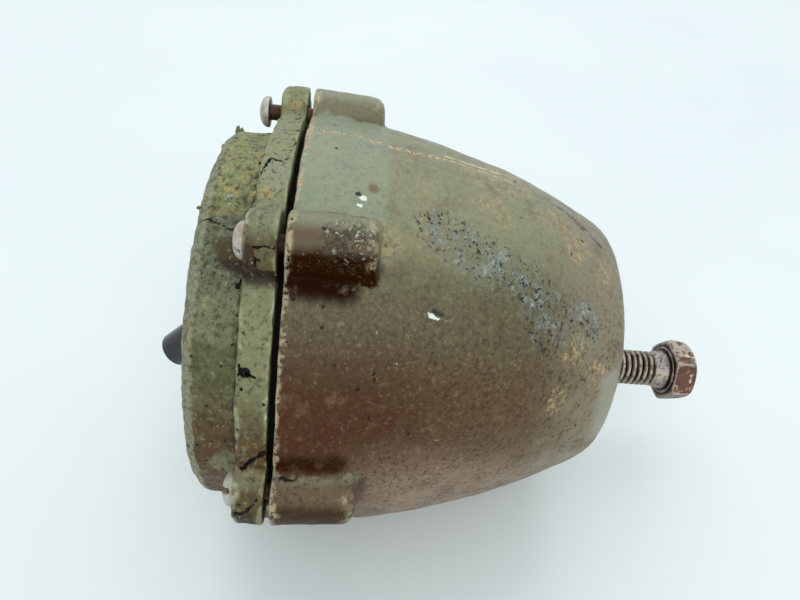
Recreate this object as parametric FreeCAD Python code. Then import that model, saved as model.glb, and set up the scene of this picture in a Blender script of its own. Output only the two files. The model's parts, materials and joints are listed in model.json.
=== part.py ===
"""Ship engine telegraph: bridge transmitter with reply pointer.

Frame: +Y is the instrument's axis and points out of its back, +Z is up, and the origin is
the centre of the mounting pad at the back. The dial and the handle face -Y.
Millimetres. Stations along the axis are counted from the joint between casing and bezel,
positive towards the back, and at() turns one into a Y coordinate.
"""
import FreeCAD, Part
import math
import os

# --- driving dimensions -------------------------------------------------------------------
# casing shell
CASING_FRONT_R = 65.6
FRONT_SLOPE_DEG = 1.4
BELLY_R = 213.0
REAR_SLOPE_DEG = 27.5
CORNER_R = 7.8
WALL = 5.0
RIM_BORE_R = 58.0
RIM_DEPTH = 7.0

# six joint lugs
LUG_CIRCLE_R = 65.0
LUG_ANGLES = [-150, -90, -30, 30, 90, 150]
LUG_R = 8.5
LUG_REAR_R = 7.7
CASING_LUG_LENGTH = 22.0
CASING_LUG_ROUND = 3.5
LUG_HOLE_R = 2.5
LUG_HOLE_DEPTH = 18.0
LUG_BOSS_R = 5.5
LUG_BOSS_LENGTH = 20.0
LUG_CLEAR_R = 2.75
JOINT_SCREW_HEAD_R = 4.7
JOINT_SCREW_HEAD_T = 3.6
JOINT_SCREW_R = 2.45
JOINT_SCREW_LENGTH = 21.0
LOOSE_SCREW_DEG = -30
LOOSE_SCREW_OUT = 4.0

# bezel
GASKET_T = 1.6
GASKET_R = 61.5
BEZEL_FLANGE_R = 65.2
BEZEL_FLANGE_FRONT = -9.6
BEZEL_EDGE = 1.5
COLLAR_R = 58.2
COLLAR_FRONT = -24.6
COLLAR_ROUND = 4.3
BEZEL_INNER_R = 52.0
BEZEL_INNER_END = -10.0

# mounting pad and bolt
BOLT_Z = -13.5
SPARE_HOLE_Z = 13.5
BOSS_R = 11.0
BOSS_FRONT = 68.0
BOLT_THREAD_R = 6.35
BOLT_END = 76.0
BOLT_NECK_START = 130.0
BOLT_NECK_R = 7.15
BOLT_HEAD_FACE = 134.9
BOLT_HEAD_END = 142.8
BOLT_FLATS = 20.4
BOLT_HEAD_CHAMFER = 1.4
SPARE_HOLE_R = 5.25
SPARE_HOLE_DEPTH = 20.0

# cable gland under the back of the casing
GLAND_STATION = 84.0
GLAND_BOSS_Z = -48.0
GLAND_END_Z = -54.5
GLAND_BORE_R = 5.5
GLAND_THREAD_R = 7.95
GLAND_COLLAR_R = 10.0
GLAND_COLLAR_Z = -49.5
GLAND_SEAT_Z = -46.0
GLAND_TOP_Z = -37.0
GLAND_SEAL_R = 6.9
GLAND_FLATS = 18.0

# window
GLASS_T = 4.0
GLASS_BACK = -14.5
GLASS_R = 48.6
GLASS_HOLE_R = 12.6
SEAL_T = 1.5
WINDOW_R = 45.0
WINDOW_RING_R = 52.7
WINDOW_RING_T = 3.0
RING_SCREW_R = 50.6
RING_SCREW_ANGLES = [0, 60, 120, 180, 240, 300]

# bush through the middle of the window
RUBBER_T = 1.0
BUSH_R = 12.4
BUSH_FLANGE_R = 17.0
BUSH_FLANGE_T = 3.0
BUSH_WASHER_R = 16.5
BUSH_FRONT = GLASS_BACK - GLASS_T - RUBBER_T
BUSH_NUT = (GLASS_BACK + RUBBER_T, GLASS_BACK + RUBBER_T + 2.0)
BUSH_NUT_SLOT = 3.0
PACKING = (BUSH_FRONT - 0.5, BUSH_FRONT + 2.5)
PACKING_R = 7.9
PACKING_NUT_FLATS = 20.0

# handle
SHAFT_R = 5.0
SHAFT_FRONT = -35.0
SHAFT_BACK = 62.0
HANDLE_ROOT = -21.3
HANDLE_DEG = 45.0
GRIP_START = 16.0
GRIP_END = 32.3
GRIP_R = 6.4
GRIP_EDGE = 0.6
GRIP_WALL_END = 4.0
STEM_R = 4.0
STEM_START = 9.9
HUB_R = 8.0
HUB = (-36.5, BUSH_FRONT - 6.6)
HUB_ROUND = 3.5
HUB_NECK_R = 6.3
HANDLE_PIN_R = 1.5
HANDLE_PIN_HALF = 7.4
HANDLE_PIN_PLACE = (-31.0, 2.0)
ORDER_POINTER = (-10.8, -9.6)

# chassis
FRONT_PLATE = 8.5
REAR_PLATE = 50.0
PLATE_T = 3.0
FRONT_PLATE_R = 57.3
REAR_PLATE_R = 50.3
CHASSIS_SCREW_R = 54.5
CHASSIS_SCREW_ANGLES = [45, 135, 225, 315]
PILLAR_CIRCLE_R = 46.0
PILLAR_ANGLES = [-160, -25, 25, 160]
PILLAR_R = 4.0
POST_R = 4.5
POST_END = 40.0
BEARING_R = 9.0
BEARING_FLANGE_R = 11.0
M4_R, M4_TAPPED_R, M4_CLEAR_R = 1.95, 2.0, 2.2
M3_R, M3_TAPPED_R, M3_CLEAR_R = 1.2, 1.25, 1.7

# dial
DIAL_FRONT = -4.5
DIAL_T = 1.5
DIAL_R = 50.0
DIAL_POST_R = 42.0
DIAL_POST_ANGLES = [45, 135, 225, 315]
LAMP_R = 46.0
ORDER_STEP_DEG = 30

# gears: the large wheels on the centre line turn the small ones of the two synchros
MODULE = 0.8
WHEEL_TEETH = 60
PINION_TEETH = 20
PRESSURE_DEG = 20.0
BACKLASH = 0.16
CENTRE_DISTANCE = MODULE * (WHEEL_TEETH + PINION_TEETH) / 2
TRANSMITTER_DEG = 110
RECEIVER_DEG = -110
REPLY_GEAR = (0.5, 3.5)
ORDER_GEAR = (4.6, 7.4)
GEAR_HOLE_R = 4.2
GEAR_HOLE_CIRCLE_R = 15.5
REPLY_TUBE_R = 7.5
REPLY_TUBE = (-8.4, 4.0)
REPLY_POINTER = (-8.2, -7.0)
ROTOR_SHAFT_R = 2.5

# synchros
SYNCHRO_R = 13.5
SYNCHRO_LENGTH = 32.0
SYNCHRO_FLANGE_R = 17.5
SYNCHRO_WALL = 1.5
SYNCHRO_FRONT = FRONT_PLATE + PLATE_T
SYNCHRO_BACK = SYNCHRO_FRONT + SYNCHRO_LENGTH
SYNCHRO_SCREW_R = 15.8
SYNCHRO_SCREW_ANGLES = [60, 180, 300]
STATOR_BORE_R = 8.4
ROTOR_CORE_R = 8.1

# index wheel and its plunger
INDEX_WHEEL = (56.0, 60.0)
INDEX_WHEEL_R = 20.0
STOP_TAB_R = 24.5
HANDLE_SWING_DEG = 120
INDEX_MIDDLE = (INDEX_WHEEL[0] + INDEX_WHEEL[1]) / 2
PLUNGER_R = 2.5
PLUNGER_COLLAR_R = 3.4
HOUSING_R = 5.0
HOUSING_BORE_R = 3.6
HOUSING_Z = (21.5, 40.0)
HOUSING_SCREW_X, HOUSING_SCREW_Z = 7.5, 28.0
SPRING_R, SPRING_WIRE_R, SPRING_PITCH = 3.05, 0.3, 2.2
STOP_PIN_R = 2.5
STOP_CIRCLE_R = 22.5
STOP_TAB_HALF = 2.5

# lamp and terminal block
LAMP_TUBE_R = 5.0
LAMP_CAP_R = 4.0
TERMINAL = (REAR_PLATE + PLATE_T, REAR_PLATE + PLATE_T + 11.0)
TERMINAL_Z = (-39.0, -27.0)
TERMINAL_MIDDLE_Z = -33.0
TERMINAL_X = [-12, -4, 4, 12]
TERMINAL_SCREW_X = 20.0

TURN_GAP = 0.05
SEAT_GAP = 0.02

V = FreeCAD.Vector
AXIS_Y = V(0, 1, 0)


def belly_centre():
    """Centre of the long arc of the casing's side, as (station, radius)."""
    a = math.radians(FRONT_SLOPE_DEG)
    return -BELLY_R * math.sin(a), CASING_FRONT_R - BELLY_R * math.cos(a)


def corner_centre():
    """Centre of the rounded back corner, as (station, radius)."""
    b = math.radians(REAR_SLOPE_DEG)
    y, r = belly_centre()
    return y + (BELLY_R - CORNER_R) * math.sin(b), r + (BELLY_R - CORNER_R) * math.cos(b)


CASING_LENGTH = corner_centre()[0] + CORNER_R


# --- helpers ------------------------------------------------------------------------------
def at(station):
    """Y coordinate of a station counted from the joint."""
    return station - CASING_LENGTH


def polar(radius, degrees):
    """X and Z of a point on a circle round the axis, from the top, turning towards +X."""
    a = math.radians(degrees)
    return radius * math.sin(a), radius * math.cos(a)


def disc(radius, start, end, x=0.0, z=0.0):
    """Cylinder along the axis between two stations."""
    low, high = sorted((at(start), at(end)))
    return Part.makeCylinder(radius, high - low, V(x, low, z), AXIS_Y)


def ring(outer, inner, start, end, x=0.0, z=0.0):
    """Tube along the axis between two stations."""
    return disc(outer, start, end, x, z).cut(disc(inner, start, end, x, z))


def rod(radius, start, end):
    """Cylinder between two points."""
    a, b = V(*start), V(*end)
    return Part.makeCylinder(radius, (b - a).Length, a, b - a)


def block(x0, x1, s0, s1, z0, z1):
    """Box from its limits, with stations along the axis."""
    return Part.makeBox(x1 - x0, s1 - s0, z1 - z0, V(x0, at(s0), z0))


def spin(points, x=0.0, z=0.0):
    """Solid of revolution round the axis from (station, radius) corners."""
    corners = [V(r, at(s), 0) for s, r in points]
    face = Part.Face(Part.makePolygon(corners + corners[:1]))
    solid = face.revolve(V(0, 0, 0), AXIS_Y, 360)
    return solid.translated(V(x, 0, z))


def hexagon(flats, start, end, x=0.0, z=0.0, turn=0.0):
    """Hexagonal prism along the axis."""
    across = flats / math.sqrt(3)
    corners = []
    for i in range(7):
        a = math.radians(turn + 60 * i)
        corners.append(V(x + across * math.cos(a), at(start), z + across * math.sin(a)))
    return Part.Face(Part.makePolygon(corners)).extrude(V(0, end - start, 0))


def turned(shape, degrees):
    """The shape turned round the axis from the top towards +X."""
    copy = shape.copy()
    copy.rotate(V(0, 0, 0), AXIS_Y, degrees)
    return copy


def around(shape, angles):
    """Copies of a shape made at the top, one at each angle."""
    return [turned(shape, a) for a in angles]


def group(shapes):
    """Separate solids that share one node."""
    return Part.makeCompound(shapes)


def screw(head_r, head_t, shank_r, length, seat, x=0.0, z=0.0):
    """Slotted pan-head screw, its head in front of the seat station and its shank behind."""
    top = seat - head_t
    edge = head_t * 0.45
    head = spin([(seat, 0), (seat, head_r), (seat - edge, head_r),
                 (top + edge * 0.3, head_r * 0.82), (top, head_r * 0.5), (top, 0)], x, z)
    slot = block(x - head_r, x + head_r, top - 1, top + head_t * 0.45,
                 z - head_r * 0.12, z + head_r * 0.12)
    shank = disc(shank_r, seat, seat + length, x, z)
    return head.cut(slot).fuse(shank).removeSplitter()


# --- casing -------------------------------------------------------------------------------
def casing_body(inset):
    """Solid inside the casing's outer surface, or inside a surface parallel to it."""
    b = math.radians(REAR_SLOPE_DEG)
    belly, corner = belly_centre(), corner_centre()
    long_r, short_r = BELLY_R - inset, CORNER_R - inset
    a = math.asin(-belly[0] / long_r)

    def on(centre, radius, angle):
        return V(centre[1] + radius * math.cos(angle), at(centre[0] + radius * math.sin(angle)), 0)

    side = [on(belly, long_r, t) for t in (a, (a + b) / 2, b)]
    turn = [on(corner, short_r, t) for t in (b, (b + math.pi / 2) / 2, math.pi / 2)]
    front_centre, back_centre = V(0, at(0), 0), V(0, turn[2].y, 0)
    edges = [
        Part.makeLine(front_centre, side[0]),
        Part.Arc(*side).toShape(),
        Part.Arc(*turn).toShape(),
        Part.makeLine(turn[2], back_centre),
        Part.makeLine(back_centre, front_centre),
    ]
    return Part.Face(Part.Wire(edges)).revolve(V(0, 0, 0), AXIS_Y, 360)


def casing_lug():
    """Long joint ear at the top, tapering towards the back and rounded there."""
    base = V(0, at(0), LUG_CIRCLE_R)
    lug = Part.makeCone(LUG_R, LUG_REAR_R, CASING_LUG_LENGTH, base, AXIS_Y)
    back = [e for e in lug.Edges
            if abs(e.CenterOfMass.y - at(CASING_LUG_LENGTH)) < 0.01 and e.Length > LUG_R]
    return lug.makeFillet(CASING_LUG_ROUND, back)


def gland_line(radius, low, high):
    """Upright cylinder on the cable gland's own line."""
    y = at(GLAND_STATION)
    return rod(radius, (0, y, low), (0, y, high))


def casing_bosses():
    """Rim, screw bosses and posts that stand inside the shell."""
    post_start = FRONT_PLATE + PLATE_T
    post = disc(POST_R, post_start, POST_END, 0, CHASSIS_SCREW_R)
    rib = block(-POST_R, POST_R, post_start, POST_END, CHASSIS_SCREW_R, CASING_FRONT_R)
    pieces = [ring(CASING_FRONT_R, RIM_BORE_R, 0, RIM_DEPTH)]
    pieces += around(disc(LUG_BOSS_R, 0, LUG_BOSS_LENGTH, 0, LUG_CIRCLE_R), LUG_ANGLES)
    pieces += around(post.fuse(rib), CHASSIS_SCREW_ANGLES)
    pieces += [disc(BOSS_R, BOSS_FRONT, CASING_LENGTH, 0, z) for z in (BOLT_Z, SPARE_HOLE_Z)]
    pieces += [gland_line(BOSS_R, GLAND_BOSS_Z, GLAND_TOP_Z)]
    return pieces


def casing_holes():
    post_start = FRONT_PLATE + PLATE_T
    spare_start = CASING_LENGTH - SPARE_HOLE_DEPTH
    holes = around(disc(LUG_HOLE_R, -1, LUG_HOLE_DEPTH, 0, LUG_CIRCLE_R), LUG_ANGLES)
    holes += around(disc(M4_TAPPED_R, post_start - 1, post_start + 14, 0, CHASSIS_SCREW_R),
                    CHASSIS_SCREW_ANGLES)
    holes += [disc(BOLT_THREAD_R + TURN_GAP, BOLT_END - 3, CASING_LENGTH + 1, 0, BOLT_Z)]
    holes += [disc(SPARE_HOLE_R, spare_start, CASING_LENGTH + 1, 0, SPARE_HOLE_Z)]
    holes += [gland_line(GLAND_THREAD_R + TURN_GAP, GLAND_BOSS_Z - 1, GLAND_TOP_Z + 7)]
    holes += [gland_line(BOSS_R + 0.5, GLAND_BOSS_Z - 12, GLAND_BOSS_Z)]
    return holes


def make_casing():
    outside = casing_body(0)
    body = outside.multiFuse(around(casing_lug(), LUG_ANGLES))
    body = body.cut(casing_body(WALL))
    body = body.multiFuse([piece.common(outside) for piece in casing_bosses()])
    return body.cut(group(casing_holes())).removeSplitter()


def make_gasket():
    """Ring inside the joint screws, so it stands back in the gap between the castings."""
    return ring(GASKET_R, RIM_BORE_R, -GASKET_T, 0)


def make_mounting_bolt():
    thread = disc(BOLT_THREAD_R, BOLT_END, BOLT_NECK_START, 0, BOLT_Z)
    neck = disc(BOLT_NECK_R, BOLT_NECK_START, BOLT_HEAD_FACE, 0, BOLT_Z)
    head = hexagon(BOLT_FLATS, BOLT_HEAD_FACE, BOLT_HEAD_END, 0, BOLT_Z)
    corner = BOLT_FLATS / math.sqrt(3)
    chamfer = spin([(BOLT_HEAD_FACE, 0), (BOLT_HEAD_FACE, corner + 1),
                    (BOLT_HEAD_END - BOLT_HEAD_CHAMFER, corner + 1), (BOLT_HEAD_END, BOLT_FLATS / 2 - 0.4),
                    (BOLT_HEAD_END, 0)], 0, BOLT_Z)
    return thread.multiFuse([neck, head.common(chamfer)]).removeSplitter()


# --- bezel and window ---------------------------------------------------------------------
def make_bezel():
    flange = disc(BEZEL_FLANGE_R, BEZEL_FLANGE_FRONT, -GASKET_T)
    flange = flange.makeFillet(BEZEL_EDGE, [flange.Edges[i] for i in front_edges(flange)])
    collar = disc(COLLAR_R, COLLAR_FRONT, -GASKET_T)
    collar = collar.makeFillet(COLLAR_ROUND, [collar.Edges[i] for i in front_edges(collar)])
    lug = disc(LUG_R, BEZEL_FLANGE_FRONT, -GASKET_T, 0, LUG_CIRCLE_R)
    lug = lug.makeFillet(BEZEL_EDGE, [lug.Edges[i] for i in front_edges(lug)])
    body = flange.multiFuse([collar] + around(lug, LUG_ANGLES))
    shelf = GLASS_BACK - GLASS_T
    inside = [disc(BEZEL_INNER_R, BEZEL_INNER_END, 0), disc(WINDOW_R, COLLAR_FRONT - 1, 0)]
    inside += [disc(GLASS_R + 0.4, COLLAR_FRONT - 1, GLASS_BACK + SEAL_T)]
    inside += [disc(WINDOW_RING_R + 0.3, COLLAR_FRONT - 1, shelf)]
    inside += around(disc(LUG_CLEAR_R, COLLAR_FRONT, 0, 0, LUG_CIRCLE_R), LUG_ANGLES)
    inside += around(disc(M3_TAPPED_R, shelf - 1, shelf + 5, 0, RING_SCREW_R), RING_SCREW_ANGLES)
    return body.cut(group(inside)).removeSplitter()


def front_edges(shape):
    """Indices of the round edges at the shape's front end."""
    front = min(v.Y for v in shape.Vertexes)
    found = []
    for i, edge in enumerate(shape.Edges):
        if edge.Closed and abs(edge.CenterOfMass.y - front) < 0.001:
            found.append(i)
    return found


def make_bezel_screws():
    """Six joint screws, one of them partly screwed out."""
    screws = []
    for angle in LUG_ANGLES:
        out = LOOSE_SCREW_OUT if angle == LOOSE_SCREW_DEG else 0.0
        one = screw(JOINT_SCREW_HEAD_R, JOINT_SCREW_HEAD_T, JOINT_SCREW_R, JOINT_SCREW_LENGTH,
                    BEZEL_FLANGE_FRONT - out, 0, LUG_CIRCLE_R)
        screws.append(turned(one, angle))
    return group(screws)


def make_window_glass():
    return ring(GLASS_R, GLASS_HOLE_R, GLASS_BACK - GLASS_T, GLASS_BACK)


def make_window_seal():
    return ring(GLASS_R, WINDOW_R + 0.5, GLASS_BACK, GLASS_BACK + SEAL_T)


def make_window_ring():
    shelf = GLASS_BACK - GLASS_T
    flat = ring(WINDOW_RING_R, WINDOW_R, shelf - WINDOW_RING_T, shelf)
    hole = disc(1.35, shelf - WINDOW_RING_T, shelf, 0, RING_SCREW_R)
    return flat.cut(group(around(hole, RING_SCREW_ANGLES)))


def make_window_ring_screws():
    seat = GLASS_BACK - GLASS_T - WINDOW_RING_T
    one = screw(2.2, 1.5, M3_R, 7.0, seat, 0, RING_SCREW_R)
    return group(around(one, RING_SCREW_ANGLES))


# --- bush through the middle of the window ------------------------------------------------
def make_window_bush():
    body = disc(BUSH_R, BUSH_FRONT - BUSH_FLANGE_T, BUSH_NUT[1] + 0.3)
    flange = disc(BUSH_FLANGE_R, BUSH_FRONT - BUSH_FLANGE_T, BUSH_FRONT)
    bore = disc(SHAFT_R + TURN_GAP, BUSH_FRONT - 4, 0)
    stuffing = disc(PACKING_R + SEAT_GAP, BUSH_FRONT - 4, PACKING[1])
    return body.fuse(flange).cut(bore.fuse(stuffing)).removeSplitter()


def make_bush_washers():
    front = ring(BUSH_WASHER_R, BUSH_R + SEAT_GAP, BUSH_FRONT, BUSH_FRONT + RUBBER_T)
    back = ring(BUSH_WASHER_R, BUSH_R + SEAT_GAP, GLASS_BACK, GLASS_BACK + RUBBER_T)
    return group([front, back])


def make_bush_nut():
    nut = ring(BUSH_WASHER_R, BUSH_R + SEAT_GAP, *BUSH_NUT)
    half = BUSH_NUT_SLOT / 2
    slot = block(-half, half, BUSH_NUT[0] - 1, BUSH_NUT[1] + 1, BUSH_WASHER_R - 2, BUSH_WASHER_R + 1)
    return nut.cut(group(around(slot, [0, 90, 180, 270])))


def make_packing():
    return ring(PACKING_R, SHAFT_R + TURN_GAP, *PACKING)


def make_packing_nut():
    seat = BUSH_FRONT - BUSH_FLANGE_T
    skirt = disc(PACKING_R, seat, PACKING[0])
    head = hexagon(PACKING_NUT_FLATS, seat - 3.0, seat)
    return skirt.fuse(head).cut(disc(SHAFT_R + TURN_GAP, -40, 0)).removeSplitter()


# --- handle -------------------------------------------------------------------------------
def on_handle(distance):
    """Point on the handle's line, from where it crosses the axis, down and forwards."""
    a = math.radians(HANDLE_DEG)
    return 0, at(HANDLE_ROOT - distance * math.cos(a)), -distance * math.sin(a)


def handle_pin_line(radius, half_length):
    """Cylinder across the hub and the shaft, just above the axis."""
    station, z = HANDLE_PIN_PLACE
    return rod(radius, (-half_length, at(station), z), (half_length, at(station), z))


def make_handle_hub():
    hub = disc(HUB_R, *HUB)
    hub = hub.makeFillet(HUB_ROUND, [hub.Edges[i] for i in front_edges(hub)])
    neck = rod(HUB_NECK_R, on_handle(8.6), on_handle(GRIP_START - 0.2))
    body = hub.fuse(neck).common(disc(30, HUB[0], HUB[1]))
    body = body.cut(disc(SHAFT_R + SEAT_GAP, SHAFT_FRONT, 0))
    pin = handle_pin_line(HANDLE_PIN_R + SEAT_GAP, HUB_R + 4)
    stem = rod(STEM_R + SEAT_GAP, on_handle(STEM_START - 0.1), on_handle(GRIP_END))
    return body.cut(pin).cut(stem).removeSplitter()


def make_handle_stem():
    return rod(STEM_R, on_handle(STEM_START), on_handle(GRIP_END - GRIP_WALL_END))


def make_handle_grip():
    grip = rod(GRIP_R, on_handle(GRIP_START), on_handle(GRIP_END))
    grip = grip.makeFillet(GRIP_EDGE, [e for e in grip.Edges if e.Closed])
    blind = on_handle(GRIP_END - GRIP_WALL_END + 0.1)
    return grip.cut(rod(STEM_R + SEAT_GAP, on_handle(GRIP_START - 1), blind))


def make_hub_pin():
    return handle_pin_line(HANDLE_PIN_R, HANDLE_PIN_HALF)


def make_handle_shaft():
    shaft = disc(SHAFT_R, SHAFT_FRONT + 0.1, SHAFT_BACK)
    shaft = shaft.cut(handle_pin_line(HANDLE_PIN_R + SEAT_GAP, HUB_R + 4))
    return shaft.cut(rod(STEM_R + 0.2, on_handle(STEM_START - 0.2), on_handle(GRIP_END)))


def pointer(length, plate, hub_r, bore_r):
    """Pointer in one plane, pointing down, with a short counterweight above."""
    outline = [(-2.6, 0), (-1.6, -length + 7), (-3.4, -length + 7), (0, -length),
               (3.4, -length + 7), (1.6, -length + 7), (2.6, 0), (2.2, 13), (-2.2, 13)]
    corners = [V(x, at(plate[0]), z) for x, z in outline]
    blade = Part.Face(Part.makePolygon(corners + corners[:1])).extrude(V(0, plate[1] - plate[0], 0))
    hub = disc(hub_r, *plate)
    return blade.fuse(hub).cut(disc(bore_r, plate[0] - 1, plate[1] + 1)).removeSplitter()


def make_order_pointer():
    return pointer(37.0, ORDER_POINTER, 8.0, SHAFT_R + SEAT_GAP)


# --- dial ---------------------------------------------------------------------------------
def make_dial_plate():
    plate = disc(DIAL_R, DIAL_FRONT, DIAL_FRONT + DIAL_T)
    notch = disc(5.6, DIAL_FRONT, DIAL_FRONT + DIAL_T, 0, LAMP_R)
    notch = notch.fuse(block(-5.6, 5.6, DIAL_FRONT, DIAL_FRONT + DIAL_T, LAMP_R, DIAL_R + 2))
    holes = around(disc(M3_CLEAR_R, DIAL_FRONT, 0, 0, DIAL_POST_R), DIAL_POST_ANGLES)
    return plate.cut(group(holes + [disc(8.5, DIAL_FRONT, 0)])).cut(notch).removeSplitter()


def make_dial_posts():
    post = ring(3.5, M3_TAPPED_R, DIAL_FRONT + DIAL_T, FRONT_PLATE, 0, DIAL_POST_R)
    return group(around(post, DIAL_POST_ANGLES))


def make_dial_screws():
    one = screw(2.75, 1.7, M3_R, 7.0, DIAL_FRONT, 0, DIAL_POST_R)
    return group(around(one, DIAL_POST_ANGLES))


# --- reply train --------------------------------------------------------------------------
def make_reply_tube():
    return ring(REPLY_TUBE_R, SHAFT_R + 0.06, *REPLY_TUBE)


def make_reply_pointer():
    return pointer(33.0, REPLY_POINTER, 10.5, REPLY_TUBE_R + SEAT_GAP)


def gear(teeth, limits, bore_r, turn):
    """Spur gear with one tooth's centre at the given angle from the top towards +X."""
    pitch_r = MODULE * teeth / 2
    base_r = pitch_r * math.cos(math.radians(PRESSURE_DEG))
    tip_r = pitch_r + MODULE
    root_r = pitch_r - 1.25 * MODULE

    def roll(radius):
        """Angle of the involute at a radius, from where it leaves the base circle."""
        swing = math.acos(min(1.0, base_r / radius))
        return math.tan(swing) - swing

    half_tooth = math.pi / (2 * teeth) - BACKLASH / (4 * pitch_r) + roll(pitch_r)
    first_r = max(base_r, root_r)
    radii = [first_r + (tip_r - first_r) * i / 4 for i in range(5)]

    def place(radius, angle):
        angle += math.radians(turn)
        return V(radius * math.sin(angle), at(limits[0]), radius * math.cos(angle))

    edges = []
    step = 2 * math.pi / teeth
    for n in range(teeth):
        middle = n * step
        left = [place(r, middle - half_tooth + roll(r)) for r in radii]
        right = [place(r, middle + half_tooth - roll(r)) for r in radii]
        foot_left = place(root_r, middle - half_tooth)
        foot_right = place(root_r, middle + half_tooth)
        if (foot_left - left[0]).Length > 0.001:
            edges.append(Part.makeLine(foot_left, left[0]))
        flank = Part.BSplineCurve()
        flank.interpolate(left)
        edges.append(flank.toShape())
        edges.append(Part.Arc(left[-1], place(tip_r, middle), right[-1]).toShape())
        flank = Part.BSplineCurve()
        flank.interpolate(right[::-1])
        edges.append(flank.toShape())
        if (foot_right - right[0]).Length > 0.001:
            edges.append(Part.makeLine(right[0], foot_right))
        following = place(root_r, middle + step - half_tooth)
        edges.append(Part.Arc(foot_right, place(root_r, middle + step / 2), following).toShape())
    blank = Part.Face(Part.Wire(edges)).extrude(V(0, limits[1] - limits[0], 0))
    return blank.cut(disc(bore_r, limits[0] - 1, limits[1] + 1))


def lightened(wheel, limits):
    """Large gear with six round holes in its web."""
    hole = disc(GEAR_HOLE_R, limits[0] - 1, limits[1] + 1, 0, GEAR_HOLE_CIRCLE_R)
    holes = around(hole, range(0, 360, 60))
    return wheel.cut(group(holes))


def make_reply_gear():
    wheel = gear(WHEEL_TEETH, REPLY_GEAR, REPLY_TUBE_R + SEAT_GAP, RECEIVER_DEG)
    return lightened(wheel, REPLY_GEAR)


def make_order_gear():
    wheel = gear(WHEEL_TEETH, ORDER_GEAR, SHAFT_R + SEAT_GAP, TRANSMITTER_DEG)
    return lightened(wheel, ORDER_GEAR)


def pinion(limits, direction):
    """Small gear beside the centre line, with a gap between teeth facing the large one."""
    x, z = polar(CENTRE_DISTANCE, direction)
    facing = direction + 180 + 180 / PINION_TEETH
    return gear(PINION_TEETH, limits, ROTOR_SHAFT_R + SEAT_GAP, facing).translated(V(x, 0, z))


def make_transmitter_pinion():
    return pinion(ORDER_GEAR, TRANSMITTER_DEG)


def make_receiver_pinion():
    return pinion(REPLY_GEAR, RECEIVER_DEG)


# --- chassis ------------------------------------------------------------------------------
def synchro_places():
    return [polar(CENTRE_DISTANCE, TRANSMITTER_DEG), polar(CENTRE_DISTANCE, RECEIVER_DEG)]


def near_synchros(radius, circle_r, angles, start, end):
    """Cylinders on a circle round each synchro's own centre."""
    found = []
    for x, z in synchro_places():
        for angle in angles:
            dx, dz = polar(circle_r, angle)
            found.append(disc(radius, start, end, x + dx, z + dz))
    return found


def make_front_plate():
    back = FRONT_PLATE + PLATE_T
    plate = disc(FRONT_PLATE_R, FRONT_PLATE, back)
    holes = [disc(BEARING_R + SEAT_GAP, FRONT_PLATE, back)]
    holes += [disc(7.0, FRONT_PLATE, back, x, z) for x, z in synchro_places()]
    holes += near_synchros(M3_TAPPED_R, SYNCHRO_SCREW_R, SYNCHRO_SCREW_ANGLES, FRONT_PLATE, back)
    holes += around(disc(M4_CLEAR_R, FRONT_PLATE, back, 0, CHASSIS_SCREW_R), CHASSIS_SCREW_ANGLES)
    holes += around(disc(M3_CLEAR_R, FRONT_PLATE, back, 0, PILLAR_CIRCLE_R), PILLAR_ANGLES)
    holes += [disc(LAMP_TUBE_R + SEAT_GAP, FRONT_PLATE, back, 0, LAMP_R)]
    return plate.cut(group(holes))


def make_rear_plate():
    back = REAR_PLATE + PLATE_T
    plate = disc(REAR_PLATE_R, REAR_PLATE, back)
    holes = [disc(BEARING_R + SEAT_GAP, REAR_PLATE, back)]
    holes += [disc(5.0, REAR_PLATE, back, x, z) for x, z in synchro_places()]
    holes += around(disc(M3_CLEAR_R, REAR_PLATE, back, 0, PILLAR_CIRCLE_R), PILLAR_ANGLES)
    holes += [disc(M3_TAPPED_R, REAR_PLATE, back, x, z) for x, z in rear_plate_screw_places()]
    return plate.cut(group(holes))


def rear_plate_screw_places():
    """Tapped holes that hold the plunger housing and the terminal block."""
    places = [(side * HOUSING_SCREW_X, HOUSING_SCREW_Z) for side in (-1, 1)]
    return places + [(side * TERMINAL_SCREW_X, TERMINAL_MIDDLE_Z) for side in (-1, 1)]


def make_pillars():
    one = ring(PILLAR_R, M3_TAPPED_R, FRONT_PLATE + PLATE_T, REAR_PLATE, 0, PILLAR_CIRCLE_R)
    return group(around(one, PILLAR_ANGLES))


def make_pillar_screws():
    front = screw(2.75, 1.7, M3_R, 8.0, FRONT_PLATE, 0, PILLAR_CIRCLE_R)
    back = reversed_screw(2.75, 1.7, M3_R, 8.0, REAR_PLATE + PLATE_T, 0, PILLAR_CIRCLE_R)
    return group(around(front, PILLAR_ANGLES) + around(back, PILLAR_ANGLES))


def reversed_screw(head_r, head_t, shank_r, length, seat, x, z):
    """Screw whose head stands behind the seat station."""
    one = screw(head_r, head_t, shank_r, length, 0)
    one.rotate(V(0, at(0), 0), V(0, 0, 1), 180)
    return one.translated(V(x, seat, z))


def make_chassis_screws():
    one = screw(3.5, 2.4, M4_R, 14.0, FRONT_PLATE, 0, CHASSIS_SCREW_R)
    return group(around(one, CHASSIS_SCREW_ANGLES))


def bearing(start):
    """Flanged bronze bush pressed into a chassis plate from the front."""
    bush = disc(BEARING_R, start, start + PLATE_T + 2.0)
    flange = disc(BEARING_FLANGE_R, start - 0.8, start)
    return bush.fuse(flange).cut(disc(SHAFT_R + TURN_GAP, start - 2, start + 9)).removeSplitter()


def make_front_bearing():
    return bearing(FRONT_PLATE)


def make_rear_bearing():
    return bearing(REAR_PLATE)


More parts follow.
